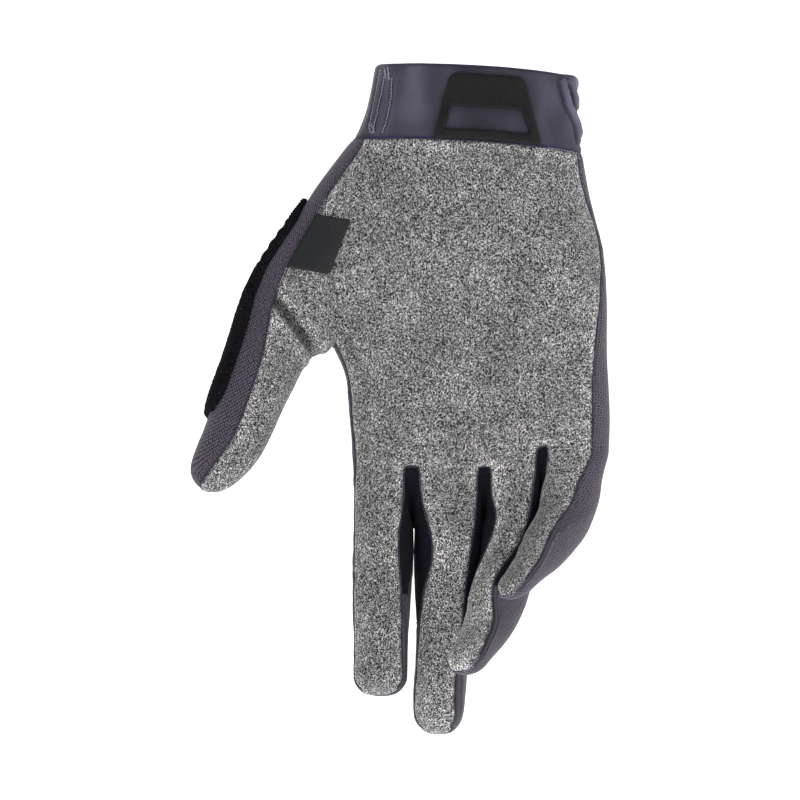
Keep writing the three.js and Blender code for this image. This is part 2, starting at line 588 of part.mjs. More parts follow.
// Evens out the depth of the palm and thumb where they meet; the front view stays as it is.
const relaxed = new Set();
for (let r = 0; r <= 5; r += 1) thumbRings[r].forEach((i) => relaxed.add(i));
for (let r = 1; r <= thumbLastRow + 1; r += 1) {
  for (let c = 0; c <= 5; c += 1) {
    relaxed.add(palmRings[r][c]);
    relaxed.add(palmRings[r][LEFT_BACK - c]);
  }
}
const neighbours = points.map(() => new Set());
for (const face of faces) {
  face.corners.forEach((i, k) => {
    neighbours[i].add(face.corners[(k + 1) % 4]);
    neighbours[i].add(face.corners[(k + 3) % 4]);
  });
}
for (let step = 0; step < RELAX_STEPS; step += 1) {
  const depths = new Map();
  for (const i of relaxed) {
    let sum = 0;
    for (const j of neighbours[i]) sum += points[j].y;
    depths.set(i, mix(points[i].y, sum / neighbours[i].size, 0.5));
  }
  for (const [i, y] of depths) points[i].y = y;
}

// Outward direction at each point of the cage, from the faces round it.
const outward = points.map(() => new THREE.Vector3());
for (const face of faces) {
  const [a, b, c, d] = face.corners.map((i) => points[i]);
  const across = c.clone().sub(a);
  const normal = across.cross(d.clone().sub(b));
  face.normal = normal.clone().normalize();
  for (const i of face.corners) outward[i].add(normal);
}
for (const direction of outward) direction.normalize();

// Makes a closed wall from a sheet of faces: outer skin, inner skin and rim.
function wallGeometry(sheet) {
  const position = [];
  const index = [];
  for (const p of sheet.outer) position.push(p.x, p.y, p.z);
  for (const p of sheet.inner) position.push(p.x, p.y, p.z);
  const count = sheet.outer.length;
  const directed = new Set();
  for (const [a, b, c, d] of sheet.quads) {
    const [pa, pb, pc, pd] = [a, b, c, d].map((i) => sheet.outer[i]);
    const acrossAC = pa.distanceTo(pc) <= pb.distanceTo(pd);
    const triangles = acrossAC ? [[a, b, c], [a, c, d]] : [[a, b, d], [b, c, d]];
    for (const [p, q, r] of triangles) {
      index.push(p, q, r);
      index.push(p + count, r + count, q + count);
    }
    for (const [p, q] of [[a, b], [b, c], [c, d], [d, a]]) directed.add(`${p},${q}`);
  }
  for (const edge of directed) {
    const [p, q] = edge.split(',').map(Number);
    if (directed.has(`${q},${p}`)) continue;
    index.push(q, p, p + count);
    index.push(q, p + count, q + count);
  }
  const geometry = new THREE.BufferGeometry();
  geometry.setAttribute('position', new THREE.Float32BufferAttribute(position, 3));
  geometry.setIndex(index);
  geometry.computeVertexNormals();
  return geometry;
}

// A panel of the cage, drawn back from its seams by half the seam gap.
function panelGeometry(name, wall, gap) {
  const quads = faces.filter((face) => face.panel === name);
  const local = new Map();
  const source = [];
  const place = (i) => {
    if (!local.has(i)) {
      local.set(i, source.length);
      source.push(i);
    }
    return local.get(i);
  };
  const localQuads = quads.map((face) => face.corners.map(place));
  const edges = new Map();
  quads.forEach((face) => {
    face.corners.forEach((a, k) => {
      edges.set(`${a},${face.corners[(k + 1) % 4]}`, face.normal);
    });
  });
  const pulls = source.map(() => []);
  for (const [edge, normal] of edges) {
    const [a, b] = edge.split(',').map(Number);
    if (edges.has(`${b},${a}`)) continue;
    const inwards = normal.clone().cross(points[b].clone().sub(points[a])).normalize();
    pulls[local.get(a)].push(inwards);
    pulls[local.get(b)].push(inwards);
  }
  const outer = source.map((i, k) => {
    const p = points[i].clone();
    const pull = pulls[k];
    if (pull.length >= 2) {
      const sum = pull[0].clone().add(pull[1]);
      const shared = Math.max(0.4, 1 + pull[0].dot(pull[1]));
      p.addScaledVector(sum, gap / 2 / shared);
    }
    return p;
  });
  const inner = source.map((i, k) => outer[k].clone().addScaledVector(outward[i], -wall));
  return wallGeometry({ outer, inner, quads: localQuads });
}

// Front surface of the glove under a point of the front view, with its outward direction.
function frontSurface(x, z) {
  let best = null;
  for (const face of faces) {
    if (face.normal.y > 0) continue;
    const [a, b, c, d] = face.corners;
    for (const [i, j, k] of [[a, b, c], [a, c, d]]) {
      const [p, q, r] = [points[i], points[j], points[k]];
      const area = (q.x - p.x) * (r.z - p.z) - (r.x - p.x) * (q.z - p.z);
      if (Math.abs(area) < 1e-9) continue;
      const s = ((x - p.x) * (r.z - p.z) - (r.x - p.x) * (z - p.z)) / area;
      const t = ((q.x - p.x) * (z - p.z) - (x - p.x) * (q.z - p.z)) / area;
      if (s < -1e-6 || t < -1e-6 || s + t > 1 + 1e-6) continue;
      const y = p.y + s * (q.y - p.y) + t * (r.y - p.y);
      if (best && best.y <= y) continue;
      const normal = outward[i].clone().multiplyScalar(1 - s - t)
        .addScaledVector(outward[j], s).addScaledVector(outward[k], t).normalize();
      best = { y, point: new THREE.Vector3(x, y, z), normal };
    }
  }
  return best;
}

// A thin piece laid on the front of the glove: a grid of places, some cells left out.
function laidGeometry(grid, thickness, keep) {
  const columns = grid[0].length;
  const outer = [];
  const inner = [];
  for (const line of grid) {
    for (const { x, z } of line) {
      const spot = frontSurface(x, z);
      inner.push(spot.point.clone().addScaledVector(spot.normal, LAYER_GAP));
      outer.push(spot.point.clone().addScaledVector(spot.normal, LAYER_GAP + thickness));
    }
  }
  const quads = [];
  for (let r = 0; r + 1 < grid.length; r += 1) {
    for (let c = 0; c + 1 < columns; c += 1) {
      const i = r * columns + c;
      if (keep(r, c)) quads.push([i, i + columns, i + columns + 1, i + 1]);
    }
  }
  return wallGeometry({ outer, inner, quads });
}

// How far a rounded corner of radius r draws an edge in, at a distance from the end.
const cornerDraw = (distance, r) => (distance >= r ? 0 : r - Math.sqrt(r * r - (r - distance) ** 2));

// Rubber patch on the cuff with its window
function cuffPatchGeometry() {
  const windowTop = PATCH_HEIGHT - WINDOW_ABOVE_PATCH_FOOT - WINDOW_HEIGHT;
  const windowFoot = PATCH_HEIGHT - WINDOW_ABOVE_PATCH_FOOT;
  const downs = [0, 0.25, 0.7, 1.5, 3].map((d) => d * PATCH_CORNER / 3);
  for (let i = 1; i <= 3; i += 1) downs.push(mix(PATCH_CORNER, windowTop, i / 3));
  const firstWindowRow = downs.length - 1;
  for (let i = 1; i <= 3; i += 1) downs.push(mix(windowTop, windowFoot, i / 3));
  const lastWindowRow = downs.length - 1;
  downs.push(mix(windowFoot, PATCH_HEIGHT, 0.5), PATCH_HEIGHT);
  const inWindow = 8;
  const grid = downs.map((down) => {
    const share = down / PATCH_HEIGHT;
    const half = mix(PATCH_TOP_WIDTH, PATCH_BOTTOM_WIDTH, share) / 2 - cornerDraw(down, PATCH_CORNER);
    const windowShare = clamp((down - windowTop) / WINDOW_HEIGHT);
    const windowWidth = mix(WINDOW_TOP_WIDTH, WINDOW_BOTTOM_WIDTH, windowShare);
    const hole = Math.min(half - WINDOW_LEAST_BORDER, windowWidth / 2);
    const xs = [-half];
    for (let i = 0; i <= inWindow; i += 1) xs.push(mix(-hole, hole, i / inWindow));
    xs.push(half);
    return xs.map((x) => {
      const across = clamp((x + PATCH_SHIFT + CUFF_MOUTH_WIDTH / 2) / CUFF_MOUTH_WIDTH);
      return { x: x + PATCH_SHIFT, z: -PATCH_TOP_BELOW_MOUTH - down - cuffDrop(across) };
    });
  });
  const keep = (r, c) => c === 0 || c === inWindow + 1 || r < firstWindowRow || r >= lastWindowRow;
  return laidGeometry(grid, PATCH_THICKNESS, keep);
}

// Place of the seam beside the thumb at a height, in the front view
function thumbSeamX(z) {
  const line = [];
  for (let r = 0; r < THUMB_FIRST_ROW; r += 1) line.push(points[palmRings[r][0]]);
  for (const ring of thumbRings) line.push(points[ring[0]]);
  let i = 0;
  while (i + 2 < line.length && line[i + 1].z > z) i += 1;
  return mix(line[i].x, line[i + 1].x, (line[i].z - z) / (line[i].z - line[i + 1].z));
}

// Small tab whose long edge is sewn into the seam beside the thumb
function sideTabGeometry() {
  const rows = 7;
  const columns = 5;
  const top = -TAB_TOP_BELOW_CUFF_MOUTH;
  const slant = thumbSeamX(top - TAB_LENGTH) - thumbSeamX(top);
  const run = new THREE.Vector2(slant, -TAB_LENGTH).setLength(TAB_LENGTH);
  const grid = [];
  for (let r = 0; r <= rows; r += 1) {
    const line = [];
    const share = r / rows;
    const z = top + run.y * share;
    const end = TAB_LENGTH * Math.min(share, 1 - share);
    const width = mix(TAB_TOP_WIDTH, TAB_FOOT_WIDTH, share) - cornerDraw(end, TAB_CORNER);
    for (let c = 0; c <= columns; c += 1) {
      const out = SEAM_GAP + c / columns * width;
      line.push({
        x: thumbSeamX(z) + out * Math.cos(TAB_SLANT * RAD),
        z: z - out * Math.sin(TAB_SLANT * RAD),
      });
    }
    grid.push(line);
  }
  return laidGeometry(grid, TAB_THICKNESS, () => true);
}

// Place on the thumb between two of its rings and two of its columns
function thumbSurface(at, column) {
  const row = Math.min(thumbRings.length - 2, Math.floor(at));
  const first = Math.floor(column) % thumbRoot.length;
  const next = (first + 1) % thumbRoot.length;
  const t = at - row;
  const s = column - Math.floor(column);
  const blend = (list) => {
    const a = list[thumbRings[row][first]].clone().lerp(list[thumbRings[row][next]], s);
    const b = list[thumbRings[row + 1][first]].clone().lerp(list[thumbRings[row + 1][next]], s);
    return a.lerp(b, t);
  };
  return { point: blend(points), normal: blend(outward).normalize() };
}

function thumbWipeGeometry() {
  const columns = 8;
  const outer = [];
  const inner = [];
  for (const row of WIPE_ROWS) {
    for (let c = 0; c <= columns; c += 1) {
      const spot = thumbSurface(row.at, mix(row.from, row.to, c / columns));
      inner.push(spot.point.clone().addScaledVector(spot.normal, LAYER_GAP));
      outer.push(spot.point.clone().addScaledVector(spot.normal, LAYER_GAP + WIPE_THICKNESS));
    }
  }
  const quads = [];
  for (let r = 0; r + 1 < WIPE_ROWS.length; r += 1) {
    for (let c = 0; c < columns; c += 1) {
      const i = r * (columns + 1) + c;
      quads.push([i, i + 1, i + columns + 2, i + columns + 1]);
    }
  }
  return wallGeometry({ outer, inner, quads });
}

const suede = new THREE.MeshStandardMaterial({ color: 0x8b8a8c, roughness: 0.95, metalness: 0 });
const mesh = new THREE.MeshStandardMaterial({ color: 0x403b4a, roughness: 0.85, metalness: 0 });
const rib = new THREE.MeshStandardMaterial({ color: 0x4a4453, roughness: 0.9, metalness: 0 });
const gusset = new THREE.MeshStandardMaterial({ color: 0x23222e, roughness: 0.9, metalness: 0 });
const band = new THREE.MeshStandardMaterial({ color: 0x565167, roughness: 0.75, metalness: 0 });
const rubber = new THREE.MeshStandardMaterial({ color: 0x101012, roughness: 0.35, metalness: 0 });
const terry = new THREE.MeshStandardMaterial({ color: 0x161519, roughness: 1, metalness: 0 });

const glove = new THREE.Group();
function addPiece(name, geometry, material) {
  const piece = new THREE.Mesh(geometry, material);
  piece.name = name;
  glove.add(piece);
}

addPiece('palm_panel', panelGeometry('palm_panel', SUEDE_WALL, SEAM_GAP), suede);
addPiece('back_panel', panelGeometry('back_panel', MESH_WALL, SEAM_GAP), mesh);
addPiece('thumb_side_panel', panelGeometry('thumb_side_panel', MESH_WALL, SEAM_GAP), rib);
for (let gap = 0; gap < 3; gap += 1) {
  const name = `fourchette_${FINGERS[gap].name}_${FINGERS[gap + 1].name}`;
  addPiece(name, panelGeometry(name, GUSSET_WALL, GUSSET_SEAM_GAP), gusset);
}
addPiece('cuff', panelGeometry('cuff', CUFF_WALL, SEAM_GAP), band);
addPiece('cuff_patch', cuffPatchGeometry(), rubber);
addPiece('side_tab', sideTabGeometry(), rubber);
addPiece('thumb_wipe', thumbWipeGeometry(), terry);

export default glove;
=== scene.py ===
import math

import bpy
import numpy as np
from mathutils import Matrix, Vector, noise
from mathutils.bvhtree import BVHTree
from mathutils.kdtree import KDTree


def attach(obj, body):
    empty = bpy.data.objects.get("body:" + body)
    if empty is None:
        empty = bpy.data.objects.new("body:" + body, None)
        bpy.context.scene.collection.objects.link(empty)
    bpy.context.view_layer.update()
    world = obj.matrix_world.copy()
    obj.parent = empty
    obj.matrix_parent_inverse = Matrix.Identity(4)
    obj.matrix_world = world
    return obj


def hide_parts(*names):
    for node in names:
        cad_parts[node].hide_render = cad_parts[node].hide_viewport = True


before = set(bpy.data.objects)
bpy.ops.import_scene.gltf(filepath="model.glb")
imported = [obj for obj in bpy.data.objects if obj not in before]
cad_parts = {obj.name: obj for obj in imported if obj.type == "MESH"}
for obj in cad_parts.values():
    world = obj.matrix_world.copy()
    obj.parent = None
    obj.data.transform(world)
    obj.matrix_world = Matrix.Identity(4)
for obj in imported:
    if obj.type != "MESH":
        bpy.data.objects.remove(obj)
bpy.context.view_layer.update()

MM = 0.001


# Camera: a long lens held level, straight at the palm side, so the glove shows almost
# without perspective, as in the photograph.
PICTURE_WIDTH = 276 * MM
LENS_LENGTH = 400
SENSOR_WIDTH = 36
VIEW_MIDDLE = Vector((-27.6, 0, -114.2)) * MM
FARTHEST_SEEN = 20

camera = bpy.data.objects.new("camera", bpy.data.cameras.new("camera"))
camera.data.lens = LENS_LENGTH
camera.data.sensor_width = SENSOR_WIDTH
camera.data.clip_end = FARTHEST_SEEN
camera.location = VIEW_MIDDLE - Vector((0, PICTURE_WIDTH * LENS_LENGTH / SENSOR_WIDTH, 0))
camera.rotation_euler = (math.radians(90), 0, 0)
bpy.context.scene.collection.objects.link(camera)
bpy.context.scene.camera = camera
bpy.context.scene.view_settings.view_transform = "Standard"


# Studio: a plain white floor that curves up behind into a wall, two tall soft boxes at the
# sides, one overhead, and a dim surround with a white horizon. The floor glows less in
# front of the glove, so that the palm isn't lit from below.
FLOOR_HEIGHT = -262 * MM
FLOOR_HALF_WIDTH = 8.0
FLOOR_FRONT = -6.0
WALL_DISTANCE = 4.3
WALL_HEIGHT = 6.8
SWEEP_RADIUS = 2.4
SWEEP_STEPS = 16
FLOOR_WHITE = 0.9
FLOOR_GLOW = {"from": -1.6, "to": -0.35, "low": 0.25, "high": 0.85}
SURROUND_GLOW = {"from": 0.09, "to": 0.16, "low": 1.0, "high": 0.10}


def glow_along(nodes, value, ramp, target):
    """Feeds a value to a socket through a straight ramp."""
    node = nodes.nodes.new("ShaderNodeMapRange")
    sockets = {"From Min": "from", "From Max": "to", "To Min": "low", "To Max": "high"}
    for socket, key in sockets.items():
        node.inputs[socket].default_value = ramp[key]
    nodes.links.new(value, node.inputs["Value"])
    nodes.links.new(node.outputs["Result"], target)


sweep_line = [(FLOOR_FRONT, 0.0)]
for step in range(SWEEP_STEPS + 1):
    turn = math.radians(90 * step / SWEEP_STEPS)
    sweep_line.append((
        WALL_DISTANCE - SWEEP_RADIUS + SWEEP_RADIUS * math.sin(turn),
        SWEEP_RADIUS - SWEEP_RADIUS * math.cos(turn),
    ))
sweep_line.append((WALL_DISTANCE, WALL_HEIGHT))
floor_points = []
for y, z in sweep_line:
    floor_points.append((-FLOOR_HALF_WIDTH, y, FLOOR_HEIGHT + z))
    floor_points.append((FLOOR_HALF_WIDTH, y, FLOOR_HEIGHT + z))
floor_faces = [(2 * i, 2 * i + 1, 2 * i + 3, 2 * i + 2) for i in range(len(sweep_line) - 1)]
floor_mesh = bpy.data.meshes.new("floor")
floor_mesh.from_pydata(floor_points, [], floor_faces)
floor = bpy.data.objects.new("floor", floor_mesh)
bpy.context.scene.collection.objects.link(floor)
floor_paint = bpy.data.materials.new("white_floor")
floor_paint.use_nodes = True
floor_nodes = floor_paint.node_tree
floor_shader = floor_nodes.nodes["Principled BSDF"]
floor_shader.inputs["Base Color"].default_value = (FLOOR_WHITE, FLOOR_WHITE, FLOOR_WHITE, 1)
floor_shader.inputs["Roughness"].default_value = 0.9
floor_shader.inputs["Emission Color"].default_value = (1, 1, 1, 1)
floor_place = floor_nodes.nodes.new("ShaderNodeNewGeometry")
floor_parts = floor_nodes.nodes.new("ShaderNodeSeparateXYZ")
floor_nodes.links.new(floor_place.outputs["Position"], floor_parts.inputs["Vector"])
glow_along(floor_nodes, floor_parts.outputs["Y"], FLOOR_GLOW, floor_shader.inputs["Emission Strength"])
floor_mesh.materials.append(floor_paint)

surround = bpy.data.worlds.new("surround")
surround.use_nodes = True
surround_nodes = surround.node_tree
surround_paint = surround_nodes.nodes["Background"]
surround_paint.inputs["Color"].default_value = (1, 1, 1, 1)
surround_place = surround_nodes.nodes.new("ShaderNodeTexCoord")
surround_parts = surround_nodes.nodes.new("ShaderNodeSeparateXYZ")
surround_height = surround_nodes.nodes.new("ShaderNodeMath")
surround_height.operation = "ABSOLUTE"
surround_nodes.links.new(surround_place.outputs["Generated"], surround_parts.inputs["Vector"])
surround_nodes.links.new(surround_parts.outputs["Z"], surround_height.inputs[0])
glow_along(surround_nodes, surround_height.outputs["Value"], SURROUND_GLOW,
           surround_paint.inputs["Strength"])
bpy.context.scene.world = surround

LIGHTS = [
    {"name": "left_box", "place": (-1.3, -0.9, 0.1), "size": (0.9, 1.6), "power": 6.8},
    {"name": "right_box", "place": (1.3, -0.9, 0.1), "size": (0.9, 1.6), "power": 9.6},
    {"name": "top_box", "place": (0.0, -0.7, 1.3), "size": (1.6, 0.9), "power": 7.5},
]
for light in LIGHTS:
    lamp = bpy.data.lights.new(light["name"], "AREA")
    lamp.shape = "RECTANGLE"
    lamp.size, lamp.size_y = light["size"]
    lamp.energy = light["power"]
    holder = bpy.data.objects.new(light["name"], lamp)
    holder.location = light["place"]
    aim = VIEW_MIDDLE - holder.location
    holder.rotation_euler = aim.to_track_quat("-Z", "Y").to_euler()
    bpy.context.scene.collection.objects.link(holder)


# Palm: one cut of grey synthetic suede that covers the palm, the fronts of the four fingers
# and the front of the thumb. It is sewn to the hand's form, which all cloth pieces share, so
# that form is worked out here: closed rings of points round cuff, palm, fingers and thumb.
CUFF_HEIGHT = 25.5
CUFF_MOUTH_WIDTH = 69
CUFF_MOUTH_DEPTH = 38
CUFF_RISE = 1.7
CUFF_DROP = 4.3
WRIST_SEAM_DIP = 1.2
CUFF_SHIFT = -1.5
PALM_HEIGHT = 111.5
PALM_WIDTH = 88.5
PALM_DEPTH = 36
CROTCH_WEB = 19
FINGER_LENGTH = 88.2
WRIST_FLARE = 1.2826
WRIST_REACH = 0.3
PINKY_CROTCH_RISE = 7.5
PALM_CUP = 8
WEB_PINCH = 0.85
THUMB_REACH = 45
THUMB_DROP = 104
THUMB_WIDTH = 24.5
THUMB_DEPTH = 23
THUMB_FORWARD = 26
THUMB_ROOT_FROM_MIDDLE = 50.5
FINGER_COLUMNS = 4
SIDE_COLUMNS = 4
THUMB_COLUMNS = 6
THUMB_FIRST_ROW = 2
PALM_COLUMNS = 4 * FINGER_COLUMNS + 3
LEFT_BACK = 2 * PALM_COLUMNS + SIDE_COLUMNS
SECTION_POWER = 2.5
FINGER_POWER = 2.15


def table(columns, rows):
    return [dict(zip(columns.split(), row)) for row in rows]


CUFF_ROWS = table("down wide deep shift", [
    (0.00, 0.995, 1.00, 0.004),
    (0.08, 1.018, 1.02, 0.002),
    (0.32, 1.034, 1.01, -0.005),
    (0.60, 1.064, 1.01, -0.012),
    (0.86, 1.108, 1.02, -0.028),
])
PALM_ROWS = table("down left right deep seam edge", [
    (0.000, -0.492, 0.398, 1.05, 0.050, 0.985),
    (0.075, -0.570, 0.412, 1.06, 0.070, 0.980),
    (0.150, -0.640, 0.428, 1.08, 0.058, 0.985),
    (0.230, -0.632, 0.452, 1.08, 0.045, 0.994),
    (0.310, -0.618, 0.475, 1.06, 0.040, 0.997),
    (0.390, -0.610, 0.487, 1.03, 0.036, 0.997),
    (0.470, -0.602, 0.493, 0.99, 0.032, 0.997),
    (0.550, -0.596, 0.495, 0.94, 0.028, 0.997),
    (0.630, -0.580, 0.495, 0.88, 0.018, 0.995),
    (0.720, -0.522, 0.497, 0.83, 0.006, 0.985),
    (0.815, -0.514, 0.501, 0.78, 0.004, 0.965),
    (0.910, -0.501, 0.507, 0.73, 0.004, 0.945),
    (1.000, -0.495, 0.503, 0.69, 0.004, 0.930),
])
PALM_MOUNDS = table("across down reach_across reach_down lift", [
    (0.16, 0.42, 0.20, 0.26, 0.15),
    (0.84, 0.30, 0.16, 0.30, 0.09),
    (0.56, 0.52, 0.20, 0.22, -0.10),
    (0.40, 0.90, 0.34, 0.09, 0.05),
])
FINGER_SECTION = "at wide deep near far gusset"
FINGERS = [
    {
        "name": "index", "length": 0.895, "width": 0.237, "depth": 0.528, "from": 0.004,
        "to": 0.203, "tip": 0.93, "shift": 0.048, "joints": (0.42, 0.74),
        "bend": (13, 19, 24), "splay": 2.2, "roll": 10,
        "rows": table(FINGER_SECTION, [
            (0.00, 1.02, 1.12, 74, 52, 80),
            (0.14, 0.99, 1.08, 80, 52, 76),
            (0.32, 0.99, 1.00, 66, 40, 66),
            (0.44, 1.02, 0.98, 68, 42, 40),
            (0.56, 0.99, 0.96, 72, 50, 14),
            (0.76, 0.91, 0.92, 76, 60, 20),
            (0.92, 0.89, 0.88, 80, 72, 20),
            (1.00, 0.89, 0.88, 88, 84, 16),
        ]),
    },
    {
        "name": "middle", "length": 1.0, "width": 0.243, "depth": 0.542, "from": 0.254,
        "to": 0.492, "tip": 0.90, "shift": 0.03, "joints": (0.42, 0.74),
        "bend": (3, 12, 18), "splay": -1.6, "roll": 8,
        "rows": table(FINGER_SECTION, [
            (0.00, 1.08, 1.12, 48, 52, 84),
            (0.12, 1.10, 1.06, 34, 58, 80),
            (0.30, 1.09, 1.00, 19, 46, 70),
            (0.44, 1.01, 0.98, 42, 44, 36),
            (0.58, 0.89, 0.96, 60, 50, 14),
            (0.78, 0.86, 0.92, 68, 42, 20),
            (0.90, 0.84, 0.86, 76, 48, 20),
            (1.00, 0.84, 0.86, 86, 66, 18),
        ]),
    },
    {
        "name": "ring", "length": 0.935, "width": 0.226, "depth": 0.514, "from": 0.533,
        "to": 0.719, "tip": 0.91, "shift": 0.02, "joints": (0.36, 0.70),
        "bend": (15, 37, 58), "splay": 4, "roll": 32,
        "rows": table(FINGER_SECTION, [
            (0.00, 1.05, 1.12, 46, 52, 84),
            (0.12, 1.08, 1.06, 16, 62, 84),
            (0.22, 1.09, 1.03, 4, 58, 80),
            (0.36, 1.035, 0.99, 34, 36, 50),
            (0.56, 1.02, 1.04, 60, 16, 14),
            (0.74, 0.89, 0.70, 66, 38, 20),
            (0.90, 0.80, 0.56, 72, 56, 20),
            (1.00, 0.80, 0.56, 84, 72, 18),
        ]),
    },
    {
        "name": "pinky", "length": 0.777, "width": 0.22, "depth": 0.486, "from": 0.752,
        "to": 0.930, "tip": 0.87, "shift": 0.095, "joints": (0.36, 0.68),
        "bend": (28, 55, 62), "splay": 7, "roll": 40,
        "rows": table(FINGER_SECTION, [
            (0.00, 1.12, 1.15, 40, 50, 84),
            (0.18, 1.12, 1.06, 46, 50, 80),
            (0.38, 1.02, 0.98, 60, 42, 52),
            (0.58, 0.93, 0.90, 62, 40, 14),
            (0.74, 0.80, 0.62, 66, 50, 20),
            (0.88, 0.72, 0.50, 70, 60, 20),
            (1.00, 0.72, 0.50, 84, 72, 18),
        ]),
    },
]
FINGER_ROWS = (0.05, 0.12, 0.20, 0.29, 0.38, 0.47, 0.56, 0.65, 0.74, 0.82, 0.89, 0.945, 0.982)
GUSSET_ROWS = 7
JOINT_SPREAD = 0.09
FIRST_BEND_REACH = 0.12
FINGER_BLEND = 0.22
FINGER_STEPS = 200
ROUND_END = 1.003
KNUCKLES_FROM = 0.25
CUFF_DROP_POWER = 2.4
THUMB_BLEND_ROWS = 3.5
THUMB_LEAST_BLEND = 0.3
THUMB_ROWS = table("out down wide deep forward tilt near far crease", [
    (0.145, 0.305, 1.94, 1.42, 0.10, 78, 52, 56, 0.00),
    (0.240, 0.355, 1.68, 1.30, 0.20, 67, 46, 66, 0.00),
    (0.340, 0.402, 1.46, 1.18, 0.30, 56, 36, 74, 0.03),
    (0.420, 0.455, 1.25, 1.09, 0.39, 46, 25, 80, 0.07),
    (0.485, 0.525, 1.12, 1.03, 0.49, 40, 16, 85, 0.03),
    (0.545, 0.592, 1.04, 1.01, 0.58, 34, 10, 89, 0.00),
    (0.610, 0.657, 0.99, 0.99, 0.67, 29, 4, 92, 0.00),
    (0.675, 0.730, 0.97, 0.96, 0.77, 26, 2, 92, 0.00),
    (0.737, 0.804, 0.91, 0.91, 0.86, 26, 2, 90, 0.00),
    (0.823, 0.874, 0.83, 0.82, 0.94, 28, 4, 88, 0.00),
    (0.912, 0.930, 0.68, 0.66, 0.99, 30, 8, 86, 0.00),
    (0.970, 0.964, 0.48, 0.44, 1.02, 31, 12, 84, 0.00),
])
FINGER_TIP_BULGE = 0.018
THUMB_TIP_BULGE = 3
THUMB_SIDE_STRIP = 84
THUMB_RELAX_STEPS = 30
THUMB_RELAX_REACH = 6


def mix(a, b, t):
    return a + (b - a) * t


def clamp(t):
    return min(1.0, max(0.0, t))


def ease(t):
    return clamp(t) ** 2 * (3 - 2 * clamp(t))


def read(rows, key, column, at):
    """One column of a table between its rows, as a smooth curve."""
    last = len(rows) - 1
    if at <= rows[0][key]:
        return rows[0][column]
    if at >= rows[last][key]:
        return rows[last][column]
    i = 0
    while rows[i + 1][key] < at:
        i += 1

    def slope(a, b):
        return (rows[b][column] - rows[a][column]) / (rows[b][key] - rows[a][key])

    here = slope(i, i + 1)
    start_slope = (slope(i - 1, i) + here) / 2 if i > 0 else here
    end_slope = (slope(i + 1, i + 2) + here) / 2 if i + 1 < last else here
    run = rows[i + 1][key] - rows[i][key]
    t = (at - rows[i][key]) / run
    rise = rows[i + 1][column] - rows[i][column]
    bow = (start_slope * run - rise) * (1 - t) + (rise - end_slope * run) * t
    return rows[i][column] + rise * t + t * (1 - t) * bow


def cuff_drop(across):
    return CUFF_DROP * clamp(across) ** CUFF_DROP_POWER


def column_share(column, row):
    even = mix(row["seam"], row["edge"], column / PALM_COLUMNS)
    finger = min(3, column // (FINGER_COLUMNS + 1))
    step = (column - finger * (FINGER_COLUMNS + 1)) / FINGER_COLUMNS
    knuckle = mix(FINGERS[finger]["from"], FINGERS[finger]["to"], step)
    return mix(even, knuckle, ease((row["down"] - KNUCKLES_FROM) / (1 - KNUCKLES_FROM)))


def angle_across(share):
    x = clamp(abs(2 * share - 1))
    return math.copysign(math.asin(x ** (SECTION_POWER / 2)), share - 0.5)


def ring_angles(row):
    front = [angle_across(column_share(i, row)) for i in range(PALM_COLUMNS + 1)]
    angles = list(front)
    for i in range(1, SIDE_COLUMNS):
        angles.append(mix(front[-1], math.pi - front[-1], i / SIDE_COLUMNS))
    angles += [math.pi - angle for angle in reversed(front)]
    for i in range(1, SIDE_COLUMNS):
        angles.append(mix(math.pi - front[0], 2 * math.pi + front[0], i / SIDE_COLUMNS))
    return angles


def section_offset(angle, half_wide, half_deep, power):
    def curve(v):
        return math.copysign(abs(v) ** (2 / power), v)
    return half_wide * curve(math.sin(angle)), half_deep * curve(math.cos(angle))


points = []
faces = []
face_panels = []
face_weaves = []
WEBS = ["fourchette_index_middle", "fourchette_middle_ring", "fourchette_ring_pinky"]
PANELS = ["palm_panel", "back_panel", "thumb_side_panel", *WEBS, "cuff"]


def add_point(p):
    points.append(np.array(p, float))
    return len(points) - 1


def add_face(corners, panel, weave):
    faces.append(corners)
    face_panels.append(PANELS.index(panel))
    face_weaves.append(weave)


def round_ring(ring, anchor, column):
    """Lengths round a ring, from its anchor column to both edges of another column."""
    count = len(ring)
    steps = [np.linalg.norm(points[ring[(i + 1) % count]] - points[ring[i]]) for i in range(count)]
    ahead = (column - anchor) % count
    if ahead < count / 2:
        length = sum(steps[(anchor + k) % count] for k in range(ahead))
    else:
        length = -sum(steps[(anchor - k) % count] for k in range(1, count - ahead + 1))
    return length, length + steps[column]


def join_rings(before, after, panel_of, anchor_of, runs):
    """Faces between two rings. The weave lies true to length round the rings, from the anchor
    column of each panel, and along the columns, whose lengths so far are in runs."""
    count = len(before)
    ends = [runs[i] + np.linalg.norm(points[after[i]] - points[before[i]]) for i in range(count)]
    for i in range(count):
        j = (i + 1) % count
        panel = panel_of(i)
        if panel:
            left, right = round_ring(before, anchor_of(i), i)
            low_left, low_right = round_ring(after, anchor_of(i), i)
            weave = ((left, runs[i]), (low_left, ends[i]), (low_right, ends[j]), (right, runs[j]))
            add_face((before[i], after[i], after[j], before[j]), panel, weave)
    return ends


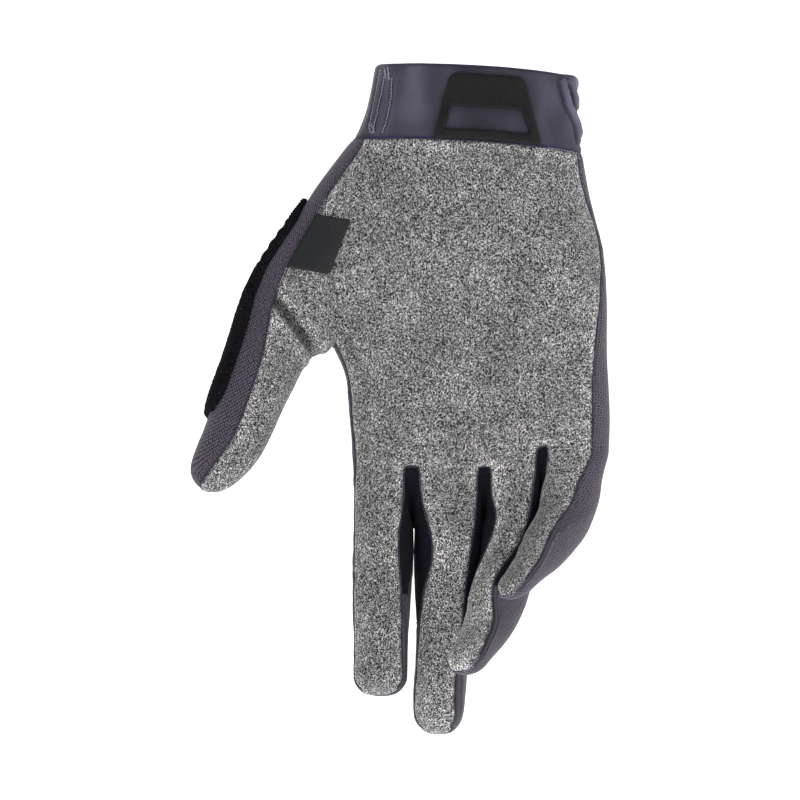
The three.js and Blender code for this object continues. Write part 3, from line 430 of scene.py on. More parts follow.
def close_tip(ring, first, front, side, along, bulge, panel_of, column_width, start):
    """Closes the end of a limb with a domed net of front x side faces, from a ring point."""
    ring = ring[first:] + ring[:first]
    grid = []
    for r in range(side + 1):
        line = []
        for c in range(front + 1):
            if r == 0:
                line.append(ring[c])
            elif r == side:
                line.append(ring[2 * front + side - c])
            elif c == front:
                line.append(ring[front + r])
            elif c == 0:
                line.append(ring[-r])
            else:
                line.append(-1)
        grid.append(line)
    for r in range(1, side):
        for c in range(1, front):
            s, t = c / front, r / side
            across = mix(points[grid[r][0]], points[grid[r][front]], s)
            deep = mix(points[grid[0][c]], points[grid[side][c]], t)
            dome = 16 * s * (1 - s) * t * (1 - t)
            grid[r][c] = add_point(mix(across, deep, 0.5) + along * bulge * math.sqrt(dome))
    for r in range(side):
        for c in range(front):
            corners = (grid[r][c], grid[r + 1][c], grid[r + 1][c + 1], grid[r][c + 1])
            left, right = c * column_width, (c + 1) * column_width
            low, high = start + r * column_width, start + (r + 1) * column_width
            weave = ((left, low), (left, high), (right, high), (right, low))
            add_face(corners, panel_of(r), weave)


def palm_ring(row):
    hand_width = mix(CUFF_MOUTH_WIDTH * WRIST_FLARE, PALM_WIDTH, ease(row["down"] / WRIST_REACH))
    half_wide = (row["right"] - row["left"]) * hand_width / 2
    middle = (row["right"] + row["left"]) * hand_width / 2
    half_deep = row["deep"] * PALM_DEPTH / 2
    ring = []
    for angle in ring_angles(row):
        wide, front = section_offset(angle, half_wide, half_deep, SECTION_POWER)
        across = (wide / half_wide + 1) / 2
        y = -front
        if front > 0:
            for mound in PALM_MOUNDS:
                far = ((across - mound["across"]) / mound["reach_across"]) ** 2
                far += ((row["down"] - mound["down"]) / mound["reach_down"]) ** 2
                y -= mound["lift"] * PALM_DEPTH * math.exp(-far) * front / half_deep
        y -= PALM_CUP * ease((across - 0.55) / 0.5) * ease((row["down"] - 0.3) / 0.7)
        top = CUFF_RISE - CUFF_HEIGHT - cuff_drop(across) - WRIST_SEAM_DIP * across ** 4
        foot = -CUFF_HEIGHT - PALM_HEIGHT + PINKY_CROTCH_RISE * ease((across - 0.6) / 0.16)
        ring.append(add_point((middle + wide, y, mix(top, foot, row["down"]))))
    return ring


def cuff_ring(row):
    half_wide = row["wide"] * CUFF_MOUTH_WIDTH / 2
    half_deep = row["deep"] * CUFF_MOUTH_DEPTH / 2
    middle = row["shift"] * CUFF_MOUTH_WIDTH + CUFF_SHIFT
    ring = []
    for angle in ring_angles(PALM_ROWS[0]):
        wide, front = section_offset(angle, half_wide, half_deep, SECTION_POWER)
        across = (wide / half_wide + 1) / 2
        z = CUFF_RISE - cuff_drop(across) - row["down"] * CUFF_HEIGHT
        ring.append(add_point((middle + wide, -front, z)))
    return ring


cuff_rings = [cuff_ring(row) for row in CUFF_ROWS]
palm_rings = [palm_ring(row) for row in PALM_ROWS]
thumb_last_row = THUMB_FIRST_ROW + THUMB_COLUMNS
wall_rings = cuff_rings + [palm_rings[0]]


def hand_anchor(column):
    """Middle column of the front or the back."""
    return PALM_COLUMNS // 2 if column < PALM_COLUMNS else PALM_COLUMNS * 3 // 2 + SIDE_COLUMNS


runs = [0.0] * len(wall_rings[0])
for r in range(len(wall_rings) - 1):
    runs = join_rings(wall_rings[r], wall_rings[r + 1], lambda column: "cuff", hand_anchor, runs)


def hand_panel(row):
    def of_column(column):
        if column < PALM_COLUMNS:
            return "palm_panel"
        if column < LEFT_BACK:
            return "back_panel"
        if THUMB_FIRST_ROW <= row < thumb_last_row:
            return None
        return "thumb_side_panel" if row < THUMB_FIRST_ROW else "back_panel"
    return of_column


for r in range(len(palm_rings) - 1):
    runs = join_rings(palm_rings[r], palm_rings[r + 1], hand_panel(r), hand_anchor, runs)

WEB_STEP = 4.6
crotch_ring = palm_rings[-1]
side_lines = {}
for gap in range(3):
    left_column = gap * (FINGER_COLUMNS + 1) + FINGER_COLUMNS
    web_middle = (points[crotch_ring[left_column]][0] + points[crotch_ring[left_column + 1]][0]) / 2
    for column in (left_column, left_column + 1):
        front = points[crotch_ring[column]]
        back = points[crotch_ring[LEFT_BACK - column]]
        line = [crotch_ring[column]]
        for i in range(1, SIDE_COLUMNS):
            swell = math.sin(math.pi * i / SIDE_COLUMNS)
            p = mix(front, back, i / SIDE_COLUMNS)
            p[0] = mix(p[0], web_middle, WEB_PINCH * swell)
            p[2] -= CROTCH_WEB * swell
            line.append(add_point(p))
        line.append(crotch_ring[LEFT_BACK - column])
        side_lines[column] = line
    a, b = side_lines[left_column], side_lines[left_column + 1]
    for i in range(SIDE_COLUMNS):
        low, high = i * WEB_STEP, (i + 1) * WEB_STEP
        weave = ((0, low), (0, high), (WEB_STEP, high), (WEB_STEP, low))
        add_face((a[i], a[i + 1], b[i + 1], b[i]), WEBS[gap], weave)


def finger_root_ring(index):
    first = index * (FINGER_COLUMNS + 1)
    last = first + FINGER_COLUMNS
    ring = [crotch_ring[i] for i in range(first, last + 1)]
    for i in range(1, SIDE_COLUMNS):
        ring.append(side_lines[last][i] if index < 3 else crotch_ring[PALM_COLUMNS + i])
    ring += [crotch_ring[LEFT_BACK - i] for i in range(last, first - 1, -1)]
    for i in range(SIDE_COLUMNS - 1, 0, -1):
        ring.append(side_lines[first][i] if index > 0 else crotch_ring[LEFT_BACK + SIDE_COLUMNS - i])
    return ring


def limb_angle(column, front, near, far, gusset):
    side = front + SIDE_COLUMNS
    back_start = far + gusset
    back_end = 360 - near - gusset
    if column <= front:
        angle = mix(-near, far, column / front)
    elif column <= side:
        angle = mix(far, back_start, (column - front) / SIDE_COLUMNS)
    elif column <= side + front:
        angle = mix(back_start, back_end, (column - side) / front)
    else:
        angle = mix(back_end, 360 - near, (column - side - front) / SIDE_COLUMNS)
    return math.radians(angle)


def bend_at(finger, at):
    first, second, third = finger["bend"]

    def step(joint):
        return ease((at - joint + JOINT_SPREAD) / (2 * JOINT_SPREAD))
    near_joint, far_joint = finger["joints"]
    bend = first * ease(at / FIRST_BEND_REACH)
    bend += (second - first) * step(near_joint) + (third - second) * step(far_joint)
    return math.radians(bend)


def finger_path(finger, start):
    lean = math.radians(finger["splay"])
    roll = math.radians(finger["roll"])
    down = np.array((math.sin(lean), 0, -math.cos(lean)))
    front = np.array((-math.sin(roll), -math.cos(roll), 0))
    front -= front.dot(down) * down
    front /= np.linalg.norm(front)
    wide = np.cross(front, down)
    middles = [start]
    for i in range(FINGER_STEPS):
        bend = bend_at(finger, (i + 0.5) / FINGER_STEPS)
        along = down * math.cos(bend) + front * math.sin(bend)
        middles.append(middles[-1] + along * finger["length"] * FINGER_LENGTH / FINGER_STEPS)

    def place(at):
        bend = bend_at(finger, at)
        along = down * math.cos(bend) + front * math.sin(bend)
        face = -down * math.sin(bend) + front * math.cos(bend)
        return middles[math.floor(at * FINGER_STEPS + 0.5)], along, face, wide
    return place


TIP_COLUMN_WIDTH = 2.5


def finger_anchor(column):
    """Middle column of the finger's front, far side, back or near side."""
    if column < FINGER_COLUMNS:
        return FINGER_COLUMNS // 2
    if column < FINGER_COLUMNS + SIDE_COLUMNS:
        return FINGER_COLUMNS + SIDE_COLUMNS // 2
    if column < 2 * FINGER_COLUMNS + SIDE_COLUMNS:
        return FINGER_COLUMNS * 3 // 2 + SIDE_COLUMNS
    return 2 * FINGER_COLUMNS + SIDE_COLUMNS * 3 // 2


for index, finger in enumerate(FINGERS):
    root = finger_root_ring(index)
    start = sum(points[i] for i in root) / len(root)
    place = finger_path(finger, start)
    length, width = finger["length"] * FINGER_LENGTH, finger["width"] * PALM_WIDTH

    def finger_panel(row):
        def of_column(column):
            if column < FINGER_COLUMNS:
                return "palm_panel"
            if row >= GUSSET_ROWS:
                return "back_panel"
            if column < FINGER_COLUMNS + SIDE_COLUMNS and index < 3:
                return WEBS[index]
            if column >= 2 * FINGER_COLUMNS + SIDE_COLUMNS and index > 0:
                return WEBS[index - 1]
            return "back_panel"
        return of_column

    before = root
    runs = [PALM_HEIGHT] * len(root)
    for row, at in enumerate(FINGER_ROWS):
        middle, along, face, wide = place(at)
        rounding = 1.0
        if at > finger["tip"]:
            rounding = math.sqrt(1 - ((at - finger["tip"]) / (ROUND_END - finger["tip"])) ** 2)
        sizes = {name: read(finger["rows"], "at", name, at) for name in FINGER_SECTION.split()[1:]}
        half_wide = sizes["wide"] * width / 2 * rounding
        half_deep = sizes["deep"] * finger["depth"] * PALM_DEPTH / 2 * rounding
        own = ease(at / FINGER_BLEND)
        ring = []
        for column, root_point in enumerate(root):
            angle = limb_angle(column, FINGER_COLUMNS, sizes["near"], sizes["far"], sizes["gusset"])
            side, front = section_offset(angle, half_wide, half_deep, FINGER_POWER)
            p = middle + wide * (side + finger["shift"] * width) + face * front
            carried = points[root_point] - start + middle
            ring.append(add_point(mix(carried, p, own)))
        runs = join_rings(before, ring, finger_panel(row), finger_anchor, runs)
        before = ring
    close_tip(before, 0, FINGER_COLUMNS, SIDE_COLUMNS, along, FINGER_TIP_BULGE * length,
              lambda r: "palm_panel" if r < 3 else "back_panel", TIP_COLUMN_WIDTH, runs[0])

thumb_root = [palm_rings[r][0] for r in range(THUMB_FIRST_ROW, thumb_last_row + 1)]
thumb_root += [palm_rings[thumb_last_row][LEFT_BACK + i] for i in range(SIDE_COLUMNS - 1, -1, -1)]
thumb_root += [palm_rings[r][LEFT_BACK] for r in range(thumb_last_row - 1, THUMB_FIRST_ROW - 1, -1)]
thumb_root += [palm_rings[THUMB_FIRST_ROW][LEFT_BACK + i] for i in range(1, SIDE_COLUMNS)]
thumb_top = -CUFF_HEIGHT - PALM_ROWS[THUMB_FIRST_ROW]["down"] * PALM_HEIGHT
thumb_middles = [
    np.array((
        -THUMB_ROOT_FROM_MIDDLE - row["out"] * THUMB_REACH,
        -row["forward"] * THUMB_FORWARD,
        thumb_top - row["down"] * THUMB_DROP,
    ))
    for row in THUMB_ROWS
]
thumb_rings = [thumb_root]
runs = [0.0] * len(thumb_root)
for i, row in enumerate(THUMB_ROWS):
    ahead = thumb_middles[min(i + 1, len(THUMB_ROWS) - 1)]
    along = ahead - thumb_middles[max(i - 1, 0)]
    along /= np.linalg.norm(along)
    tilt = math.radians(row["tilt"])
    wide = np.array((math.cos(tilt), 0, -math.sin(tilt)))
    face = np.cross(along, wide)
    face /= np.linalg.norm(face)
    own = max(ease((i + 1) / THUMB_BLEND_ROWS), THUMB_LEAST_BLEND)
    ring = []
    for column, root_point in enumerate(thumb_root):
        angle = limb_angle(column, THUMB_COLUMNS, row["near"], row["far"], THUMB_SIDE_STRIP)
        side, front = section_offset(
            angle, row["wide"] * THUMB_WIDTH / 2, row["deep"] * THUMB_DEPTH / 2, FINGER_POWER)
        sink = max(0.0, math.cos(angle)) * row["crease"] * THUMB_DEPTH
        p = thumb_middles[i] + wide * side + face * (front - sink)
        ring.append(add_point(mix(points[root_point], p, own)))
    front_columns = THUMB_COLUMNS + SIDE_COLUMNS
    runs = join_rings(thumb_rings[-1], ring,
                      lambda c: "palm_panel" if c < front_columns else "thumb_side_panel",
                      lambda c: front_columns // 2 if c < front_columns else front_columns * 3 // 2,
                      runs)
    thumb_rings.append(ring)
close_tip(thumb_rings[-1], 1, THUMB_COLUMNS + SIDE_COLUMNS - 2, 2, along, THUMB_TIP_BULGE,
          lambda r: "palm_panel" if r < 1 else "thumb_side_panel", TIP_COLUMN_WIDTH, runs[0])

relaxed = set()
for ring in thumb_rings[:THUMB_RELAX_REACH]:
    relaxed.update(ring)
for r in range(1, thumb_last_row + 2):
    for c in range(THUMB_RELAX_REACH):
        relaxed.add(palm_rings[r][c])
        relaxed.add(palm_rings[r][LEFT_BACK - c])
neighbours = [set() for _ in points]
for corners in faces:
    for k in range(4):
        neighbours[corners[k]].update((corners[(k + 1) % 4], corners[(k + 3) % 4]))
for _ in range(THUMB_RELAX_STEPS):
    depths = {
        i: mix(points[i][1], sum(points[j][1] for j in neighbours[i]) / len(neighbours[i]), 0.5)
        for i in relaxed
    }
    for i, y in depths.items():
        points[i][1] = y
points = np.array(points)


def new_piece(name, positions, corner_lists, weave=None):
    """A mesh object from points in millimetres; weave gives each corner's place on the cloth."""
    mesh = bpy.data.meshes.new(name)
    corner_lists = [list(map(int, corners)) for corners in corner_lists]
    mesh.from_pydata((np.asarray(positions) * MM).tolist(), [], corner_lists)
    if weave is not None:
        layer = mesh.uv_layers.new(name="weave")
        layer.data.foreach_set("uv", (np.asarray(weave, float).reshape(-1) * MM).astype(np.float32))
    mesh.polygons.foreach_set("use_smooth", [True] * len(mesh.polygons))
    piece = bpy.data.objects.new(name, mesh)
    bpy.context.scene.collection.objects.link(piece)
    return piece


def subdivided(positions, corner_lists, panels, weave):
    """One round of subdivision of the whole form; the first points keep their numbers."""
    piece = new_piece("form", positions, corner_lists, weave)
    for panel in PANELS:
        piece.data.materials.append(None)
    piece.data.polygons.foreach_set("material_index", panels)
    modifier = piece.modifiers.new("round", "SUBSURF")
    modifier.levels = modifier.render_levels = 1
    modifier.uv_smooth = "PRESERVE_BOUNDARIES"
    modifier.use_limit_surface = False
    graph = bpy.context.evaluated_depsgraph_get()
    mesh = bpy.data.meshes.new_from_object(piece.evaluated_get(graph))
    co = np.empty(len(mesh.vertices) * 3)
    mesh.vertices.foreach_get("co", co)
    loops = np.empty(len(mesh.loops), int)
    mesh.loops.foreach_get("vertex_index", loops)
    kinds = np.empty(len(mesh.polygons), int)
    mesh.polygons.foreach_get("material_index", kinds)
    uv = np.empty(len(mesh.loops) * 2)
    mesh.uv_layers[0].data.foreach_get("uv", uv)
    bpy.data.objects.remove(piece)
    bpy.data.meshes.remove(mesh)
    return co.reshape(-1, 3) / MM, loops.reshape(-1, 4), kinds, uv.reshape(-1, 4, 2) / MM


def vertex_normals(positions, corners):
    across = positions[corners[:, 2]] - positions[corners[:, 0]]
    other = positions[corners[:, 3]] - positions[corners[:, 1]]
    face_normals = np.cross(across, other)
    normals = np.zeros_like(positions)
    for k in range(4):
        np.add.at(normals, corners[:, k], face_normals)
    return normals / np.maximum(np.linalg.norm(normals, axis=1, keepdims=True), 1e-9)


# Subdivision draws the form in a little, so the net is first let out by what it would lose.
LET_OUT_ROUNDS = 2
LET_OUT_SHARE = 0.8
net = points.copy()
for _ in range(LET_OUT_ROUNDS):
    smaller = subdivided(net, faces, face_panels, face_weaves)
    net += LET_OUT_SHARE * (points - smaller[0][:len(points)])
level_one = subdivided(net, faces, face_panels, face_weaves)
level_two = subdivided(*level_one)
level_three = subdivided(*level_two)
form_points, form_faces, form_panels, form_weave = level_three
form_normals = vertex_normals(form_points, form_faces)


def border_edges(corner_lists):
    """Edges that only one face has, in that face's direction."""
    half = np.concatenate([corner_lists[:, [k, (k + 1) % 4]] for k in range(4)])
    span = half.max() + 1
    codes = half[:, 0] * span + half[:, 1]
    back_codes = half[:, 1] * span + half[:, 0]
    return half[~np.isin(codes, back_codes)]


SEAM_CLEARANCE = 0.05
SHARP_ANGLE = 60
cut_pieces = {}


def cut_panel(name, piece_name, wall, relief):
    """Cuts one cloth panel out of the form, as a closed wall. relief gives how far each point
    stands out, from its place, direction and distance to the panel's edge."""
    kind = PANELS.index(name)
    outer = form_faces[form_panels == kind]
    inner = level_two[1][level_two[2] == kind]
    border = border_edges(outer)
    edge_points = np.unique(border)
    tree = KDTree(len(edge_points))
    for k, i in enumerate(edge_points):
        tree.insert(form_points[i], k)
    tree.balance()
    used = np.unique(outer)
    to_edge = np.array([tree.find(form_points[i])[2] for i in used])
    height = relief(form_points[used], form_normals[used], to_edge)
    place = form_points[used] + form_normals[used] * height[:, None]
    number = np.full(len(form_points), -1)
    number[used] = np.arange(len(used))
    along = form_points[border[:, 1]] - form_points[border[:, 0]]
    inwards = np.cross((form_normals[border[:, 0]] + form_normals[border[:, 1]]) / 2, along)
    inwards /= np.linalg.norm(inwards, axis=1, keepdims=True)
    for k in (0, 1):
        np.add.at(place, number[border[:, k]], inwards * SEAM_CLEARANCE / 2)
    inner_used = np.unique(inner)
    inner_number = np.full(len(form_points), -1)
    inner_number[inner_used] = len(used) + np.arange(len(inner_used))
    inner_place = place[number[inner_used]] - form_normals[inner_used] * wall
    lists = number[outer].tolist()
    lists += inner_number[inner][:, ::-1].tolist()
    weave = [form_weave[form_panels == kind].reshape(-1, 2)]
    weave.append(level_two[3][level_two[2] == kind][:, ::-1].reshape(-1, 2))
    after = dict(border.tolist())
    edge_weave = {}
    for corners, places in zip(outer.tolist(), form_weave[form_panels == kind].tolist()):
        for i, at in zip(corners, places):
            edge_weave[i] = at
    rim_weave = []
    for a, b in border_edges(inner).tolist():
        middle = after[a]
        lists.append([number[b], number[middle], number[a], inner_number[a], inner_number[b]])
        rim_weave += [edge_weave[i] for i in (b, middle, a, a, b)]
    weave.append(np.array(rim_weave))
    piece = new_piece(piece_name, np.concatenate([place, inner_place]), lists, np.concatenate(weave))
    piece.data.set_sharp_from_angle(angle=math.radians(SHARP_ANGLE))
    for label, values in (("to_seam", to_edge), ("height", height)):
        attribute = piece.data.attributes.new(label, "FLOAT", "POINT")
        both = np.concatenate([values, values[number[inner_used]]])
        attribute.data.foreach_set("value", both.astype(np.float32))
    cut_pieces[name] = {
        "place": place, "number": number, "faces": outer,
        "tree": BVHTree.FromPolygons(place.tolist(), number[outer].tolist()),
    }
    return piece


def soft_noise(places, size, seed=0.0):
    """Smooth unevenness between about -1 and 1, with swells of that size in millimetres."""
    shift = Vector((seed, 2.3 * seed, -1.7 * seed))
    return np.array([noise.noise(Vector(p) / size + shift) for p in places])


def cloth_relief(places, to_edge, edge, swells):
    """How far a panel stands out: an edge turned in at the seam, and soft swells, some of
    them only that near a seam."""
    height = -edge["depth"] * np.exp(-(to_edge / edge["width"]) ** 2)
    for swell in swells:
        lift = swell["lift"] * soft_noise(places, swell["size"], swell["seed"])
        if swell["near_seam"]:
            lift *= np.exp(-(to_edge / swell["near_seam"]) ** 2)
        height += lift
    return height


CREASE_RIDGE = {"share": 0.55, "away": 2, "width": 0.9}
CREASE_END = 3
FRONT_FACING = 0.2


def crease(places, normals, fold):
    """A fold along a line of the front view: a valley, with a low ridge on each side."""
    line, width = np.array(fold["line"], float), fold["width"]
    best = np.full(len(places), 1e9)
    spot = places[:, [0, 2]]
    for a, b in zip(line[:-1], line[1:]):
        run = b - a
        t = np.clip(((spot - a) @ run) / (run @ run), 0, 1)
        best = np.minimum(best, np.linalg.norm(spot - a - t[:, None] * run, axis=1))
    ends = np.minimum(
        np.linalg.norm(spot - line[0], axis=1), np.linalg.norm(spot - line[-1], axis=1))
    fade = np.clip(ends / (CREASE_END * width), 0, 1) * (normals[:, 1] < FRONT_FACING)
    valley = -np.exp(-(best / width) ** 2)
    from_ridge = (best - CREASE_RIDGE["away"] * width) / (CREASE_RIDGE["width"] * width)
    return fold["depth"] * fade * (valley + CREASE_RIDGE["share"] * np.exp(-from_ridge ** 2))


class Finish:
    """The nodes of one finish. Each added node takes numbers, colours or other nodes' outputs."""

    def __init__(self, name, **settings):
        self.material = bpy.data.materials.new(name)
        self.material.use_nodes = True
        self.shader = self.material.node_tree.nodes["Principled BSDF"]
        self.place = self.add("ShaderNodeTexCoord")["Object"]
        self.cloth = self.add("ShaderNodeUVMap", {"uv_map": "weave"})["UV"]
        self.feed(self.shader, settings)

    def feed(self, node, inputs):
        self.fill((node.inputs[name], value) for name, value in inputs.items())

    def add(self, kind, settings=None, **inputs):
        node = self.material.node_tree.nodes.new(kind)
        for name, value in (settings or {}).items():
            setattr(node, name, value)
        self.feed(node, {name.replace("_", " "): value for name, value in inputs.items()})
        return {socket.name: socket for socket in node.outputs}

    def noise(self, at, size, detail=2.0, distortion=0.0):
        """Cloudy unevenness, with spots of that size in millimetres."""
        return self.add("ShaderNodeTexNoise", Vector=at, Scale=1 / (size * MM),
                        Detail=detail, Distortion=distortion)["Fac"]

    def spread(self, value, low, high, to_low=0.0, to_high=1.0):
        return self.add("ShaderNodeMapRange", {"interpolation_type": "SMOOTHSTEP"}, Value=value,
                        From_Min=low, From_Max=high, To_Min=to_low, To_Max=to_high)["Result"]

    def math(self, operation, first, second=0.0):
        node = self.material.node_tree.nodes.new("ShaderNodeMath")
        node.operation = operation
        self.fill(zip(node.inputs, (first, second)))
        return node.outputs[0]

    def fill(self, pairs):
        """Gives each socket its number, colour or link."""
        for socket, value in pairs:
            if isinstance(value, bpy.types.NodeSocket):
                self.material.node_tree.links.new(value, socket)
            elif isinstance(value, tuple) and len(value) == 3 and socket.type == "RGBA":
                socket.default_value = (*value, 1)
            else:
                socket.default_value = value

    def plus(self, first, second):
        return self.math("ADD", first, second)

    def times(self, first, second):
        return self.math("MULTIPLY", first, second)

    def from_zero(self, value, zero=0.0):
        """How far a value is from another, whichever is more."""
        return self.math("ABSOLUTE", self.math("SUBTRACT", value, zero))

    def blend(self, share, first, second, way="MIX"):
        """Mixes two colours by a share between 0 and 1."""
        node = self.material.node_tree.nodes.new("ShaderNodeMix")
        node.data_type = "RGBA"
        node.blend_type = way
        self.fill([(node.inputs[0], share), (node.inputs[6], first), (node.inputs[7], second)])
        return node.outputs[2]

    def scaled(self, at, x, y, z=1.0, turn=0.0):
        """The same places with each direction stretched, and turned about the third."""
        return self.add("ShaderNodeMapping", Vector=at, Scale=(x, y, z),
                        Rotation=(0, 0, math.radians(turn)))["Vector"]

    def point_value(self, name):
        """A value that the piece's points carry, such as to_seam or height, in millimetres."""
        return self.add("ShaderNodeAttribute", {"attribute_name": name})["Fac"]

    def toned(self, colour, share):
        """A colour made darker or lighter by a share."""
        grey = self.add("ShaderNodeCombineColor", Red=share, Green=share, Blue=share)["Color"]
        return self.blend(1.0, colour, grey, "MULTIPLY")

    def sewn(self, colour, low=0.1, high=0.5):
        """The cloth's last bit before a seam, dark where it turns in to the thread."""
        return self.blend(self.spread(self.point_value("to_seam"), low, high), THREAD_SHADE, colour)

    def end(self, colour, height, relief, roughness=None):
        """Joins colour and relief, in millimetres, to the shader."""
        bump = self.add("ShaderNodeBump", Height=height, Distance=relief * MM, Strength=1.0)
        self.feed(self.shader, {"Base Color": colour, "Normal": bump["Normal"]})
        if roughness is not None:
            self.feed(self.shader, {"Roughness": roughness})
        return self.material


SUEDE_WALL = 1.2
SUEDE_DARK = (0.026, 0.025, 0.027)
SUEDE_MIDDLE = (0.17, 0.166, 0.168)
SUEDE_LIGHT = (0.72, 0.705, 0.705)
SUEDE_CURL = 0.82
SUEDE_CLOUD = 13
SUEDE_PATCH = 3.2
LIT_FINGERS_PAINTED = {"left": -0.026, "right": 0.010, "foot": -0.175, "top": -0.145, "tone": 1.35}
THREAD_SHADE = (0.012, 0.011, 0.02)
SUEDE_EDGE = {"depth": 0.45, "width": 0.8}
SUEDE_WELT = {"lift": 0.12, "from_edge": 2.0, "width": 1.1}
SWELL = "lift size seed near_seam"
SUEDE_SWELLS = table(SWELL, [
    (0.30, 4.5, 3, 4.0),
    (0.18, 14, 5, None),
    (0.07, 4, 8, None),
])
PALM_LINES = [
    {
        "line": [(-73, -77), (-69, -82), (-63.5, -88.5), (-59, -95), (-57, -99)],
        "depth": 1.5, "width": 1.7,
    },
    {"line": [(-30, -53.5), (-16, -53), (-2, -54.5)], "depth": 0.16, "width": 1.0},
    {"line": [(-2, -66.5), (18, -68), (41, -66)], "depth": 0.18, "width": 1.1},
    {"line": [(-36, -117.5), (-24, -118.8), (-9, -117)], "depth": 0.15, "width": 1.1},
    {"line": [(-30, -128), (-18, -130.5), (-4, -129)], "depth": 0.12, "width": 1.2},
    {"line": [(22, -154.5), (27, -151.5), (33, -149)], "depth": -0.35, "width": 0.9},
    {"line": [(-47, -92), (-41, -101), (-38, -112)], "depth": 0.22, "width": 1.4},
]


def suede_relief(places, normals, to_edge):
    height = cloth_relief(places, to_edge, SUEDE_EDGE, SUEDE_SWELLS)
    from_welt = (to_edge - SUEDE_WELT["from_edge"]) / SUEDE_WELT["width"]
    height += SUEDE_WELT["lift"] * np.exp(-from_welt ** 2)
    for fold in PALM_LINES:
        height += crease(places, normals, fold)
    return height


palm = cut_panel("palm_panel", "suede_palm", SUEDE_WALL, suede_relief)
suede = Finish("suede", Roughness=0.95)
suede.feed(suede.shader, {"Sheen Weight": 0.25, "Sheen Roughness": 0.45, "Specular IOR Level": 0.2})
curls = suede.noise(suede.scaled(suede.place, 1.25, 1.25), SUEDE_CURL, 1.0, 0.5)
curls = suede.spread(suede.from_zero(curls, 0.5), 0.0, 0.085, 1.0, 0.0)
fibres = suede.noise(suede.place, 0.45, 2.0, 0.6)
grain = suede.plus(suede.times(curls, 0.42), suede.times(fibres, 0.58))
colour = suede.blend(suede.spread(grain, 0.28, 0.46), SUEDE_DARK, SUEDE_MIDDLE)
colour = suede.blend(suede.spread(grain, 0.46, 0.74), colour, SUEDE_LIGHT)
at = suede.add("ShaderNodeSeparateXYZ", Vector=suede.place)
# Painted light: the lower parts of the middle and ring fingers are made lighter, standing in for the
# light that falls on them.
lighter = LIT_FINGERS_PAINTED
painted_light_on_fingers = suede.times(suede.spread(at["X"], lighter["left"], lighter["left"] + 0.008),
                    suede.spread(at["X"], lighter["right"] - 0.007, lighter["right"], 1.0, 0.0))
painted_light_on_fingers = suede.times(painted_light_on_fingers, suede.spread(at["Z"], lighter["foot"], lighter["top"], 1.0, 0.0))
tones = [
    suede.spread(suede.noise(suede.place, SUEDE_CLOUD, 3.0), 0.3, 0.7, 0.84, 1.10),
    suede.spread(suede.noise(suede.place, SUEDE_PATCH, 2.0), 0.3, 0.7, 0.95, 1.06),
    # painted shade in the hollows and creases and painted light on the raised parts, from each point's
    # height
    suede.spread(suede.point_value("height"), -1.1, 0.75, 0.35, 1.65),
    suede.spread(suede.point_value("to_seam"), 0.8, 5.0, 1.3, 1.0),
    # painted light on the lower middle and ring fingers
    suede.spread(painted_light_on_fingers, 0.0, 1.0, 1.0, lighter["tone"]),
]
for tone in tones:
    colour = suede.toned(colour, tone)
colour = suede.sewn(colour, 0.1, 0.55)
palm.data.materials.append(suede.end(colour, grain, 0.34))
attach(palm, "root")
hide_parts("palm_panel")


# Back of the hand: one piece of stretch knit with a honeycomb face, which also makes the
# backs of the fingers and the outer sides of the hand. It is sewn to the suede all round.
# Low on the index finger's inner side, facing the middle finger, it carries painted shade as dark as
# the side strips.
KNIT_WALL = 1.3
KNIT_CELL = 1.15
KNIT_RIDGE = (0.140, 0.117, 0.155)
KNIT_HOLLOW = (0.014, 0.011, 0.018)
KNIT_FUZZ = (0.105, 0.09, 0.115)
KNIT_TINT = (0.048, 0.041, 0.060)
INDEX_SIDE_SHADE_ZONE = {"left": -0.034, "right": -0.019, "top": -0.176, "facing": 0.45}
INDEX_SIDE_PAINTED_SHADE = (0.010, 0.009, 0.015)
KNIT_EDGE = {"depth": 0.40, "width": 0.8}
KNIT_SWELLS = table(SWELL, [
    (0.28, 4.0, 13, 4.0),
    (0.20, 12, 15, None),
    (0.06, 3.5, 18, None),
])


def knit_relief(places, normals, to_edge):
    return cloth_relief(places, to_edge, KNIT_EDGE, KNIT_SWELLS)


back = cut_panel("back_panel", "knit_back", KNIT_WALL, knit_relief)
knit = Finish("honeycomb_knit", Roughness=0.8)
knit.feed(knit.shader, {"Sheen Weight": 0.2, "Sheen Roughness": 0.5, "Specular IOR Level": 0.3})
cells = knit.add(
    "ShaderNodeTexVoronoi", {"feature": "DISTANCE_TO_EDGE", "voronoi_dimensions": "2D"},
    Vector=knit.scaled(knit.cloth, 1.0, 1.2), Scale=1 / (KNIT_CELL * MM), Randomness=0.55)["Distance"]
ridges = knit.spread(cells, 0.05, 0.32, 1.0, 0.0)
fuzz = knit.noise(knit.place, 0.35, 2.0)
tint = knit.noise(knit.place, 18, 2.0)
colour = knit.blend(ridges, KNIT_HOLLOW, KNIT_RIDGE)
colour = knit.blend(knit.spread(fuzz, 0.35, 0.7, 0.0, 0.35), colour, KNIT_FUZZ)
colour = knit.blend(knit.spread(tint, 0.35, 0.7, 0.0, 0.3), colour, KNIT_TINT)
at = knit.add("ShaderNodeSeparateXYZ", Vector=knit.place)
facing = knit.add("ShaderNodeSeparateXYZ", Vector=knit.add("ShaderNodeNewGeometry")["Normal"])
